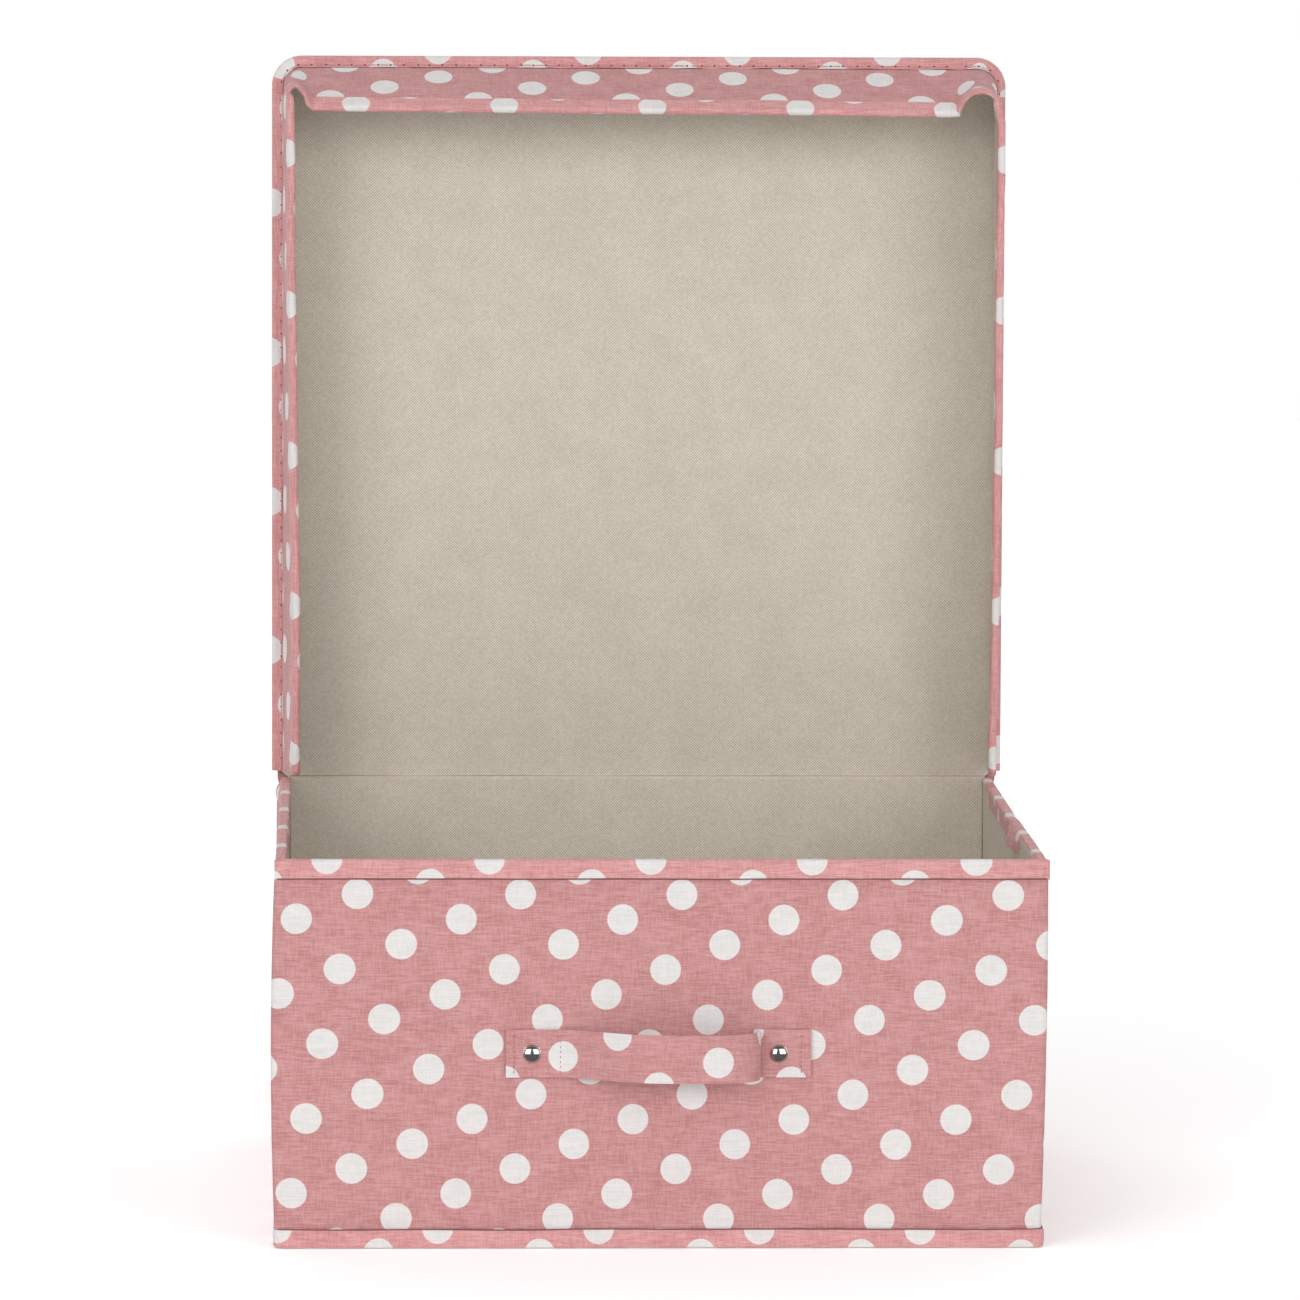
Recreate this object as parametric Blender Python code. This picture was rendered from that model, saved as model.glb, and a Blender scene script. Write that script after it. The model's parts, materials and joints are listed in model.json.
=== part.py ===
# Fabric-covered folding storage box with a hinged lid, strap handle and riveted tabs.
# Metres, +Z up. The lid stands open at right angles to the floor; the front faces -Y.
import bpy
import bmesh
from math import sin, cos, pi, radians
from mathutils import Matrix, Vector

for ob in list(bpy.data.objects):
    bpy.data.objects.remove(ob, do_unlink=True)

# ---------------------------------------------------------------- driving dimensions
BOX_W = 0.398          # over the side wall bindings
BOX_D = 0.396          # front binding to back reference face (the lid's hinge line)
BOX_H = 0.2025         # floor to the top of the rim bindings, also the hinge height
TAPE = 0.0005          # binding tape thickness
GAP = 0.0003           # seam clearance between layers
COVER = 0.0006         # outer fabric
BOARD = 0.0022         # wall stiffener board
LINING = 0.0005        # inner fabric
SKIN = TAPE + GAP      # binding tape and its clearance
WALL_T = SKIN + COVER + GAP + BOARD + GAP + LINING + SKIN      # 5.5 mm
BIND_LEG = 0.0098      # visible width of the rim binding
WALL_Z0 = 0.0052       # underside of the walls, above the base insert
BASE_COVER = 0.0006
COVER_SET = 0.0001     # the bottom cover's extra set-in from the walls' covers
INSERT_T = 0.0026
INSERT_CLEAR = 0.0012  # the loose insert's clearance to the walls
INSERT_FRONT = 0.0022  # and to the front wall
HEM_H = 0.0093         # bound bottom hem
HEM_T = 0.0014
HEM_ROUND = 0.00055
FOLD_CLEAR = 0.0007    # fabric hinge clearance at the folding corners
CREASE_GAP = 0.0006    # from a side wall's crease to the end of each half
BOARD_SHORT = 0.0012   # the front and back boards and linings stop short of their covers
WALL_CORNER = 0.0012   # corner radius of a wall's layers
WALL_ROUND = 0.0011    # outer radius of the tape over a wall's top
HINGE_UP = 0.0280      # reach of the outer hinge cloth above and below the hinge
HINGE_LINING_UP = 0.0120
HINGE_SHORT = 0.0060   # the hinge cloths stop short of the box's sides
HINGE_DIP = 0.0013     # the outer hinge cloth turns outwards below the hinge line

LID_W = 0.4084         # over the lid rim bindings
LID_L = 0.4026         # hinge line to the lid's far face
LID_R = 0.0165         # corner radius of the lid panel
LID_LIFT = 0.0005      # lining face to hinge line
LID_BOARD = 0.0026
LID_HEEL = 0.0026      # hinge line to the panel's near edge
LID_LEG = 0.0085       # width of the tape on the lid's outer face
LID_SHORT = 0.0006     # the lid's board stops short of its cover
LID_TAPE_UP = 0.0030   # hinge line to the near ends of the lid's tape
RIM_R = 0.0575         # rim depth
RIM_COVER = 0.0005
RIM_BOARD = 0.0014
RIM_LINING = 0.0004
RIM_GAP = 0.00025
RIM_T = SKIN * 2 + RIM_COVER + RIM_BOARD + RIM_LINING + RIM_GAP * 2   # 4.4 mm
RIM_LEG = 0.009
RIM_ROUND = 0.0010     # outer radius of the tape over a rim's free edge
RIM_SHORT = 0.0008     # a rim's board and lining stop short of its cover
RIM_ROOT = 0.0006      # clearance between the panel's lining and a rim
RIM_UP = 0.0032        # hinge line to the lower ends of the side rims
RIM_AXIS = 0.0002      # the rims' hinge lines stand this far in front of the lid's lining
GUSSET = 0.0215        # soft corner on each side of a rim corner
LEAN_FRONT = 27.0      # degrees the front rim sags inwards with the lid upright
LEAN_LEFT = 10.5
LEAN_RIGHT = 4.6
GUSSET_T = 0.0015

HANDLE_Z = 0.1017
STRAP_W = 0.0250
STRAP_T = 0.0024
TAB_OUT = {-1: -0.0798, 1: 0.0782}      # outer end of each tab
TAB_IN = 0.0500        # inner end of each tab, from the middle
RIVET_X = {-1: -0.0663, 1: 0.0614}
RIVET_R = 0.0047
RIVET_H = 0.0024
POST_R = 0.0015
TAIL_R = 0.0026        # turned-over end of a rivet's post
HOLE_R = 0.0018
WASHER_R = 0.0050
LOOP_HALF = 0.0482
LOOP_OUT = 0.0220      # how far the strap's centre stands off
LOOP_OFF = 0.0068      # strap's centre at the ends of the loop
LOOP_AXIS = 0.0007     # its swing axis stands this far in front of the front face

# the part's origin lies under the middle of everything, the handle and lid included
REACH_FRONT = LOOP_OUT + STRAP_T / 2
REACH_BACK = LID_LIFT + LINING + GAP + LID_BOARD + GAP + COVER + SKIN
Y_MID = (REACH_FRONT - REACH_BACK) / 2

XO = BOX_W / 2
YF = Y_MID - BOX_D / 2
YB = Y_MID + BOX_D / 2
H = BOX_H

PINK = (0.58, 0.26, 0.26, 1.0)
TAPE_PINK = (0.68, 0.36, 0.37, 1.0)
BEIGE = (0.55, 0.49, 0.41, 1.0)
GREY = (0.45, 0.42, 0.38, 1.0)
STEEL = (0.75, 0.75, 0.77, 1.0)


# ---------------------------------------------------------------- builders
def finish(name, bm, colour, metal=0.0, rough=0.9, smooth=False):
    bmesh.ops.remove_doubles(bm, verts=bm.verts, dist=1e-7)
    bmesh.ops.recalc_face_normals(bm, faces=bm.faces)
    me = bpy.data.meshes.new(name)
    bm.to_mesh(me)
    bm.free()
    if smooth:
        for p in me.polygons:
            p.use_smooth = True
    ob = bpy.data.objects.new(name, me)
    bpy.context.collection.objects.link(ob)
    m = bpy.data.materials.new(name)
    m.use_nodes = True
    s = m.node_tree.nodes["Principled BSDF"]
    s.inputs["Base Color"].default_value = colour
    s.inputs["Metallic"].default_value = metal
    s.inputs["Roughness"].default_value = rough
    me.materials.append(m)
    return ob


def set_origin(ob, x, y, z):
    v = Vector((x, y, z))
    ob.data.transform(Matrix.Translation(ob.location - v))
    ob.location = v


def prism(name, outline, span, axis, colour, **kw):
    """Extrude a closed 2D outline along an axis. The outline is (y, z), (x, z) or (x, y)."""
    bm = bmesh.new()

    def at(p, t):
        if axis == "X":
            return (t, p[0], p[1])
        if axis == "Y":
            return (p[0], t, p[1])
        return (p[0], p[1], t)
    a = [bm.verts.new(at(p, span[0])) for p in outline]
    b = [bm.verts.new(at(p, span[1])) for p in outline]
    n = len(outline)
    bm.faces.new(a)
    bm.faces.new(list(reversed(b)))
    for i in range(n):
        j = (i + 1) % n
        bm.faces.new((a[i], b[i], b[j], a[j]))
    return finish(name, bm, colour, **kw)


def rounded(u0, u1, v0, v1, r, corners=(1, 1, 1, 1), n=8):
    """Rounded rectangle, corners in the order low-low, high-low, high-high, low-high."""
    out = []
    spec = [(u0, v0, 1, 1, 180), (u1, v0, -1, 1, 270), (u1, v1, -1, -1, 0), (u0, v1, 1, -1, 90)]
    for k, (u, v, su, sv, a0) in enumerate(spec):
        rr = r * corners[k]
        if rr < 1e-6:
            out.append((u, v))
            continue
        for i in range(n + 1):
            a = radians(a0 + 90.0 * i / n)
            out.append((u + su * rr + rr * cos(a), v + sv * rr + rr * sin(a)))
    return out


def slab(name, lo, hi, axis, colour, r=0.0008, corners=(1, 1, 1, 1)):
    """A thin flat layer, rounded in its own plane; axis is its thin direction."""
    k = "XYZ".index(axis)
    p = [i for i in range(3) if i != k]
    o = rounded(lo[p[0]], hi[p[0]], lo[p[1]], hi[p[1]], r, corners, 4)
    return prism(name, o, (lo[k], hi[k]), axis, colour)


def channel_profile(half, leg, top, th, r_out, n=4):
    """Folded tape seen from its end: a U upside down, closed top at height top."""
    o = [(-half, top - leg)]
    for i in range(n + 1):
        a = pi - (pi / 2) * i / n
        o.append((-half + r_out + r_out * cos(a), top - r_out + r_out * sin(a)))
    for i in range(n + 1):
        a = pi / 2 - (pi / 2) * i / n
        o.append((half - r_out + r_out * cos(a), top - r_out + r_out * sin(a)))
    o.append((half, top - leg))
    hi, ti, ri = half - th, top - th, max(r_out - th, 0.0002)
    o.append((hi, top - leg))
    for i in range(n + 1):
        a = (pi / 2) * i / n
        o.append((hi - ri + ri * cos(a), ti - ri + ri * sin(a)))
    for i in range(n + 1):
        a = pi / 2 + (pi / 2) * i / n
        o.append((-hi + ri + ri * cos(a), ti - ri + ri * sin(a)))
    o.append((-hi, top - leg))
    return o


def turn(ob, pivot, axis, deg):
    """Turn a piece about a fixed line, leaving its data in place."""
    p = Vector(pivot)
    m = Matrix.Translation(p) @ Matrix.Rotation(radians(deg), 4, Vector(axis)) @ Matrix.Translation(-p)
    ob.data.transform(m)


def drill(ob, holes, axis_span):
    """Round holes along Y through a layer."""
    for x, z, r in holes:
        bm = bmesh.new()
        bmesh.ops.create_cone(bm, cap_ends=True, segments=32, radius1=r, radius2=r,
                              depth=axis_span[1] - axis_span[0])
        rot = Matrix.Rotation(radians(90), 4, "X")
        pos = Matrix.Translation((x, (axis_span[0] + axis_span[1]) / 2, z))
        bmesh.ops.transform(bm, matrix=pos @ rot, verts=bm.verts)
        me = bpy.data.meshes.new("drill")
        bm.to_mesh(me)
        bm.free()
        cut = bpy.data.objects.new("drill", me)
        bpy.context.collection.objects.link(cut)
        mod = ob.modifiers.new("hole", "BOOLEAN")
        mod.operation = "DIFFERENCE"
        mod.solver = "EXACT"
        mod.object = cut
        dep = bpy.context.evaluated_depsgraph_get()
        new = bpy.data.meshes.new_from_object(ob.evaluated_get(dep))
        old = ob.data
        ob.modifiers.clear()
        ob.data = new
        new.name = ob.name
        bpy.data.meshes.remove(old)
        bpy.data.objects.remove(cut, do_unlink=True)


# layer positions counted inwards from a wall's outer reference face
L_COVER = (SKIN, SKIN + COVER)
L_BOARD = (L_COVER[1] + GAP, L_COVER[1] + GAP + BOARD)
L_LINING = (L_BOARD[1] + GAP, L_BOARD[1] + GAP + LINING)
WALL_TOP = H - SKIN

# ---------------------------------------------------------------- base
edge = SKIN + COVER_SET
slab("bottom_cover", (-XO + edge, YF + edge, 0), (XO - edge, YB - edge, BASE_COVER), "Z", PINK, 0.003)
z = BASE_COVER + GAP
insert_x = XO - WALL_T - INSERT_CLEAR
insert_y0, insert_y1 = YF + WALL_T + INSERT_FRONT, YB - WALL_T - INSERT_CLEAR
slab("base_insert_board", (-insert_x, insert_y0, z), (insert_x, insert_y1, z + INSERT_T), "Z", GREY, 0.002)
z += INSERT_T + GAP
slab("base_insert_lining", (-insert_x, insert_y0, z), (insert_x, insert_y1, z + LINING), "Z", BEIGE, 0.002)

hem_in = SKIN - GAP
for name, lo, hi, ax in (
        ("bottom_hem_front", (-XO - HEM_T + hem_in, YF + hem_in - HEM_T), (XO + HEM_T - hem_in, YF + hem_in), "Y"),
        ("bottom_hem_back", (-XO - HEM_T + hem_in, YB - hem_in), (XO + HEM_T - hem_in, YB - hem_in + HEM_T), "Y"),
        ("bottom_hem_left", (-XO + hem_in - HEM_T, YF + hem_in + GAP), (-XO + hem_in, YB - hem_in - GAP), "X"),
        ("bottom_hem_right", (XO - hem_in, YF + hem_in + GAP), (XO - hem_in + HEM_T, YB - hem_in - GAP), "X")):
    if ax == "Y":
        prism(name, rounded(lo[1], hi[1], 0.0, HEM_H, HEM_ROUND, n=3), (lo[0], hi[0]), "X", TAPE_PINK)
    else:
        prism(name, rounded(lo[0], hi[0], 0.0, HEM_H, HEM_ROUND, n=3), (lo[1], hi[1]), "Y", TAPE_PINK)


# ---------------------------------------------------------------- walls
WALL_LAYERS = (("cover", L_COVER, PINK), ("board", L_BOARD, GREY), ("lining", L_LINING, BEIGE))


def wall_y(prefix, ref, sign, x0, x1):
    """Front or back wall: layers stacked along Y from the reference face inwards."""
    for part, (a, b), col in WALL_LAYERS:
        y0, y1 = sorted((ref + sign * a, ref + sign * b))
        d = 0.0 if part == "cover" else BOARD_SHORT
        slab(prefix + "_" + part, (x0 + d, y0, WALL_Z0), (x1 - d, y1, WALL_TOP), "Y", col, WALL_CORNER)


def wall_x(prefix, ref, sign, y0, y1):
    """Half of a side wall: layers stacked along X from the reference face inwards."""
    for part, (a, b), col in WALL_LAYERS:
        x0, x1 = sorted((ref + sign * a, ref + sign * b))
        slab(prefix + "_" + part, (x0, y0, WALL_Z0), (x1, y1, WALL_TOP), "X", col, WALL_CORNER)


wall_y("back", YB, -1, -XO + SKIN, XO - SKIN)
wall_y("front", YF, 1, -XO + SKIN, XO - SKIN)
wall_prof = channel_profile(WALL_T / 2, BIND_LEG, H, TAPE, WALL_ROUND)
prism("front_binding", [(YF + WALL_T / 2 + u, v) for u, v in wall_prof], (-XO, XO), "X", TAPE_PINK)

rear_y1 = YB - WALL_T - FOLD_CLEAR
front_y0 = YF + WALL_T + FOLD_CLEAR
crease = Y_MID
for side, s in (("left", -1), ("right", 1)):
    ref = s * XO
    for part, y0, y1 in (("rear", crease + CREASE_GAP, rear_y1), ("front", front_y0, crease - CREASE_GAP)):
        pre = side + "_" + part
        wall_x(pre, ref, -s, y0, y1)
        prism(pre + "_binding", [(ref - s * WALL_T / 2 + u, v) for u, v in wall_prof], (y0, y1), "Y", TAPE_PINK)

# fabric hinge: outer strip from the back cover to the lid cover, lining strip over the wall's top
z_turn = H - HINGE_DIP
y_lid = YB + REACH_BACK
half = XO - HINGE_SHORT
prism("hinge_strip", [
    (YB - TAPE, H - HINGE_UP), (YB, H - HINGE_UP), (YB, z_turn), (y_lid, z_turn), (y_lid, H + HINGE_UP),
    (y_lid - TAPE, H + HINGE_UP), (y_lid - TAPE, z_turn + TAPE), (YB - TAPE, z_turn + TAPE)],
    (-half, half), "X", PINK)
y_in, y_up = YB - WALL_T, YB - 0.0003
prism("hinge_lining", [
    (y_in, H - HINGE_LINING_UP), (y_in + TAPE, H - HINGE_LINING_UP), (y_in + TAPE, H - TAPE),
    (y_up + TAPE, H - TAPE), (y_up + TAPE, H + HINGE_LINING_UP), (y_up, H + HINGE_LINING_UP), (y_up, H), (y_in, H)],
    (-half + 0.0002, half - 0.0002), "X", BEIGE)

# ---------------------------------------------------------------- lid panel, upright
LX = LID_W / 2
YL = YB + LID_LIFT                 # face of the lid's lining


def lid_slab(name, d, y0, y1, col, heel):
    """A layer of the lid, set in by d from its outline."""
    o = rounded(-LX + d, LX - d, H + heel, H + LID_L - d, LID_R - d, (0.06, 0.06, 1, 1), 10)
    return prism(name, o, (y0, y1), "Y", col)


y = YL
lid_slab("lid_lining", SKIN, y, y + LINING, BEIGE, LID_HEEL)
y += LINING + GAP
lid_slab("lid_board", SKIN + LID_SHORT, y, y + LID_BOARD, GREY, LID_HEEL + LID_SHORT)
y += LID_BOARD + GAP
lid_slab("lid_cover", SKIN, y, y + COVER, PINK, LID_HEEL)
y_out = y + COVER + SKIN


def swept_tape(name, colour):
    """Tape folded over the panel's three free edges: an L that follows the rounded outline."""
    path = [((-LX, H + LID_TAPE_UP), (1.0, 0.0))]
    n = 10
    for i in range(n + 1):
        a = pi - (pi / 2) * i / n
        path.append(((-LX + LID_R + LID_R * cos(a), H + LID_L - LID_R + LID_R * sin(a)), (-cos(a), -sin(a))))
    for i in range(n + 1):
        a = pi / 2 - (pi / 2) * i / n
        path.append(((LX - LID_R + LID_R * cos(a), H + LID_L - LID_R + LID_R * sin(a)), (-cos(a), -sin(a))))
    path.append(((LX, H + LID_TAPE_UP), (-1.0, 0.0)))
    lip = YL - 0.0001
    sec = [(0.0, lip), (0.0, y_out - 0.0008), (0.0003, y_out - 0.0003), (0.0008, y_out),
           (LID_LEG, y_out), (LID_LEG, y_out - TAPE), (TAPE, y_out - TAPE), (TAPE, lip)]
    bm = bmesh.new()
    rings = [[bm.verts.new((p[0] + nn[0] * o, yy, p[1] + nn[1] * o)) for o, yy in sec] for p, nn in path]
    m = len(sec)
    for a, b in zip(rings, rings[1:]):
        for i in range(m):
            j = (i + 1) % m
            bm.faces.new((a[i], a[j], b[j], b[i]))
    bm.faces.new(rings[0])
    bm.faces.new(list(reversed(rings[-1])))
    return finish(name, bm, colour)


swept_tape("lid_edge_binding", TAPE_PINK)

# ---------------------------------------------------------------- lid rims
R_COVER = (SKIN, SKIN + RIM_COVER)
R_BOARD = (R_COVER[1] + RIM_GAP, R_COVER[1] + RIM_GAP + RIM_BOARD)
R_LINING = (R_BOARD[1] + RIM_GAP, R_BOARD[1] + RIM_GAP + RIM_LINING)
RIM_Y1 = YL - RIM_ROOT             # root of a rim
RIM_Y0 = YL - RIM_R                # its free edge
RIM_LAYERS = (("cover", R_COVER, PINK), ("board", R_BOARD, GREY), ("lining", R_LINING, BEIGE))
V0 = H + RIM_UP                    # lower end of the side rims
V1 = H + LID_L - GUSSET            # their upper end
U1 = LX - GUSSET                   # half length of the front rim
HINGE_FRONT = (0.0, YL - RIM_AXIS, H + LID_L - RIM_T)
HINGE_LEFT = (-LX + RIM_T, YL - RIM_AXIS, H)
HINGE_RIGHT = (LX - RIM_T, YL - RIM_AXIS, H)
rim_prof = channel_profile(RIM_T / 2, RIM_LEG, 0.0, TAPE, RIM_ROUND)


def side_rim(prefix, s):
    """A side rim's layers, still square to the lid."""
    obs = []
    for part, (a, b), col in RIM_LAYERS:
        x0, x1 = sorted((s * (LX - a), s * (LX - b)))
        d = 0.0 if part == "cover" else RIM_SHORT
        obs.append(slab(prefix + "_" + part, (x0, RIM_Y0 + SKIN, V0 + d), (x1, RIM_Y1, V1 - d), "X", col, WALL_CORNER))
    o = [(s * (LX - RIM_T / 2) + u, RIM_Y0 - v) for u, v in rim_prof]
    obs.append(prism(prefix + "_binding", o, (V0, V1), "Z", TAPE_PINK))
    return obs


for prefix, s, pivot, lean in (("rim_right", 1, HINGE_RIGHT, -LEAN_RIGHT), ("rim_left", -1, HINGE_LEFT, LEAN_LEFT)):
    for ob in side_rim(prefix, s):
        turn(ob, pivot, (0, 0, 1), lean)
        set_origin(ob, *pivot)

front = []
for part, (a, b), col in RIM_LAYERS:
    z1, z0 = H + LID_L - a, H + LID_L - b
    d = 0.0 if part == "cover" else RIM_SHORT
    front.append(slab("rim_front_" + part, (-U1 + d, RIM_Y0 + SKIN, z0), (U1 - d, RIM_Y1, z1), "Z", col, WALL_CORNER))
front.append(prism("rim_front_binding", [(RIM_Y0 - v, H + LID_L - RIM_T / 2 + u) for u, v in rim_prof],
                   (-U1, U1), "X", TAPE_PINK))
for ob in front:
    turn(ob, HINGE_FRONT, (1, 0, 0), LEAN_FRONT)
    set_origin(ob, *HINGE_FRONT)


def gusset(name, s, lean_side):
    """Soft corner of the lid: cloth bridging the end of the front rim and the end of a side rim."""
    ns, nr = 14, 7
    af, al = radians(LEAN_FRONT), radians(lean_side)
    hinge_y, hinge_z, hinge_x = HINGE_FRONT[1], HINGE_FRONT[2], LX - RIM_T
    mid = RIM_T / 2
    w_root = RIM_ROOT + RIM_AXIS

    def front_end(w):
        """Where the corner meets the front rim, w from its hinge."""
        gap = 0.0006 + 0.0007 * w / RIM_R
        return Vector((s * (U1 + gap), hinge_y - w * cos(af) - mid * sin(af), hinge_z + mid * cos(af) - w * sin(af)))

    def side_end(w):
        """Where it meets the side rim."""
        gap = 0.0011
        return Vector((s * (hinge_x + mid * cos(al) - w * sin(al)), hinge_y - w * cos(al) - mid * sin(al), V1 + gap))

    def surf(a, r):
        """Cubic curves between the two ends, arched more towards the free edge (r = 1)."""
        w = w_root + (RIM_R - w_root) * r
        p0, p3 = front_end(w), side_end(w)
        reach, rise = 0.0110 + 0.0050 * r, radians(68.0 * r)
        p1 = p0 + Vector((s * reach * cos(rise), 0, reach * sin(rise)))
        p2 = p3 + Vector((0, 0, 0.0110 + 0.0015 * r))
        b = 1 - a
        return p0 * b ** 3 + p1 * 3 * b * b * a + p2 * 3 * b * a * a + p3 * a ** 3

    bm = bmesh.new()
    outer, inner = [], []
    for i in range(ns + 1):
        ro, ri = [], []
        for j in range(nr + 1):
            a, r = i / ns, j / nr
            e = 1e-3
            da = surf(min(a + e, 1), r) - surf(max(a - e, 0), r)
            dr = surf(a, min(r + e, 1)) - surf(a, max(r - e, 0))
            nrm = da.cross(dr).normalized()
            c = surf(a, r)
            ro.append(bm.verts.new(c + nrm * GUSSET_T / 2))
            ri.append(bm.verts.new(c - nrm * GUSSET_T / 2))
        outer.append(ro)
        inner.append(ri)
    for i in range(ns):
        for j in range(nr):
            bm.faces.new((outer[i][j], outer[i + 1][j], outer[i + 1][j + 1], outer[i][j + 1]))
            bm.faces.new((inner[i][j], inner[i][j + 1], inner[i + 1][j + 1], inner[i + 1][j]))
    for i in range(ns):
        for j in (0, nr):
            bm.faces.new((outer[i][j], outer[i + 1][j], inner[i + 1][j], inner[i][j]))
    for j in range(nr):
        for i in (0, ns):
            bm.faces.new((outer[i][j], outer[i][j + 1], inner[i][j + 1], inner[i][j]))
    ob = finish(name, bm, PINK, smooth=True)
    set_origin(ob, s * hinge_x, hinge_y, hinge_z)


gusset("corner_left_gusset", -1, LEAN_LEFT)
gusset("corner_right_gusset", 1, LEAN_RIGHT)

# ---------------------------------------------------------------- handle
face = YF + SKIN                   # outer face of the front cover
tab_y = (face - GAP - STRAP_T, face - GAP)
holes = {s: (RIVET_X[s], HANDLE_Z, HOLE_R) for s in (-1, 1)}
drill_span = (YF - 0.02, YF + 0.03)
for s, side in ((-1, "left"), (1, "right")):
    x0, x1 = sorted((s * TAB_IN, TAB_OUT[s]))
    tab = slab("handle_tab_" + side, (x0, tab_y[0], HANDLE_Z - STRAP_W / 2), (x1, tab_y[1], HANDLE_Z + STRAP_W / 2),
               "Y", PINK, 0.0016)
    drill(tab, [holes[s]], drill_span)
for part in ("cover", "board", "lining"):
    drill(bpy.data.objects["front_" + part], holes.values(), drill_span)


def revolve(name, prof_ry, x, z, colour, n=40):
    """Turned piece about an axis along Y; the profile is a closed loop of (radius, y)."""
    bm = bmesh.new()
    rings = []
    for r, yy in prof_ry:
        if r < 1e-7:
            rings.append([bm.verts.new((x, yy, z))])
        else:
            rings.append([bm.verts.new((x + r * cos(2 * pi * k / n), yy, z + r * sin(2 * pi * k / n)))
                          for k in range(n)])
    m = len(rings)
    for i in range(m):
        a, b = rings[i], rings[(i + 1) % m]
        if len(a) == 1 and len(b) == 1:
            continue
        for k in range(n):
            k2 = (k + 1) % n
            if len(a) == 1:
                bm.faces.new((a[0], b[k], b[k2]))
            elif len(b) == 1:
                bm.faces.new((a[k2], a[k], b[0]))
            else:
                bm.faces.new((a[k], b[k], b[k2], a[k2]))
    return finish(name, bm, colour, metal=1.0, rough=0.2, smooth=True)


cap = tab_y[0] - 0.0002            # underside of a rivet's cap
brim = 0.0006                      # straight edge of the cap
w0 = YF + L_LINING[1] + 0.0003     # the washer's faces, inside the lining
w1 = w0 + 0.0008
tail = w1 + 0.0003                 # the post's turned-over end starts here
for s, side in ((-1, "left"), (1, "right")):
    dome = [(0.0, cap - RIVET_H)]
    for i in range(1, 9):
        a = (pi / 2) * i / 8
        dome.append((RIVET_R * sin(a), cap - brim - (RIVET_H - brim) * cos(a)))
    prof = dome + [(RIVET_R, cap), (POST_R, cap), (POST_R, tail), (TAIL_R, tail),
                   (TAIL_R - 0.0002, tail + 0.0005), (0.0, tail + 0.0006)]
    revolve("rivet_" + side, prof, RIVET_X[s], HANDLE_Z, STEEL)
    ring = [(HOLE_R, w0), (WASHER_R, w0), (WASHER_R, w1 - 0.0002), (WASHER_R - 0.0002, w1), (HOLE_R, w1)]
    revolve("rivet_washer_" + side, ring, RIVET_X[s], HANDLE_Z, STEEL)

# the free part of the strap, bowed away from the wall
bow = []
steps = 48
for i in range(steps + 1):
    t = -cos(pi * i / steps)
    off = LOOP_OFF + (LOOP_OUT - LOOP_OFF) * (1 - abs(t) ** 3.0) ** 0.62
    bow.append(Vector((LOOP_HALF * t, YF - off)))
outside, inside = [], []
for i, p in enumerate(bow):
    along = (bow[min(i + 1, steps)] - bow[max(i - 1, 0)]).normalized()
    across = Vector((-along.y, along.x)) * STRAP_T / 2
    outside.append(p + across)
    inside.append(p - across)
loop = prism("handle_loop", outside + inside[::-1], (HANDLE_Z - STRAP_W / 2, HANDLE_Z + STRAP_W / 2), "Z", PINK)
set_origin(loop, 0.0, YF - LOOP_AXIS, HANDLE_Z)
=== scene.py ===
import bpy
import bmesh
from math import cos, exp, hypot, pi, radians, sin, tau
from mathutils import Matrix, Vector, noise
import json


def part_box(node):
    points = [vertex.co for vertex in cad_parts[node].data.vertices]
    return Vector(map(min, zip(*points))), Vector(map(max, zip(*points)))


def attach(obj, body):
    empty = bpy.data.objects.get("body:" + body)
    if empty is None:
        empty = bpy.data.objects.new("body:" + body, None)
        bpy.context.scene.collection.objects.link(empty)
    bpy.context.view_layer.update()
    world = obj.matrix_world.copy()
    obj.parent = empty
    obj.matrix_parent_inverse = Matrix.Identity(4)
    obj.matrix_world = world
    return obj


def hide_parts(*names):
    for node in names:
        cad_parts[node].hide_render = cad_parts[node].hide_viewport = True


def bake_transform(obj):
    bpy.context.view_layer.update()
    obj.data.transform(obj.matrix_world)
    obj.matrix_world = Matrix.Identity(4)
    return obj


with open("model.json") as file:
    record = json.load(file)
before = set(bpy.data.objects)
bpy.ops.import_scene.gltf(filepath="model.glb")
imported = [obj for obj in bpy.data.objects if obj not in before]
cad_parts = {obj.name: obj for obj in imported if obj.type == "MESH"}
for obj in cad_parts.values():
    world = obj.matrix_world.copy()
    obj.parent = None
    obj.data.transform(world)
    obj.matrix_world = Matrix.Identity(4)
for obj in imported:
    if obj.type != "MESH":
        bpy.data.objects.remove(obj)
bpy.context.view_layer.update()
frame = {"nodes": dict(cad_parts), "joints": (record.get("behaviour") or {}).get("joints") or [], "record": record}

# ------------------------ sizes, read from the frame
MM = 0.001
joints = {j["name"]: j for j in frame["joints"]}
bind_lo, bind_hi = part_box("front_binding")
XO, YF, H = bind_hi.x, bind_lo.y, bind_hi.z          # half width, front face, top of the box
WALL_T = bind_hi.y - bind_lo.y
BIND_LEG = bind_hi.z - bind_lo.z
YB = joints["lid_hinge"]["pos_m"][1]                 # back face and hinge line
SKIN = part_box("front_cover")[0].y - YF               # tape and clearance outside the cover
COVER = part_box("front_cover")[1].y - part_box("front_cover")[0].y
LINING_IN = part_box("front_lining")[1].y - YF         # lining's inner face, from the outer face
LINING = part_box("front_lining")[1].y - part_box("front_lining")[0].y
WALL_Z0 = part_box("front_cover")[0].z
WALL_Z1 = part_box("front_cover")[1].z
CREASE = joints["left_crease_fold"]["pos_m"][1]
HEM_LO, HEM_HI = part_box("bottom_hem_front")
TAPE = 0.5 * MM                                      # thickness of the tape
TURN_R = 2.4 * MM                                    # cloth's radius round the box's vertical edges

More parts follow.
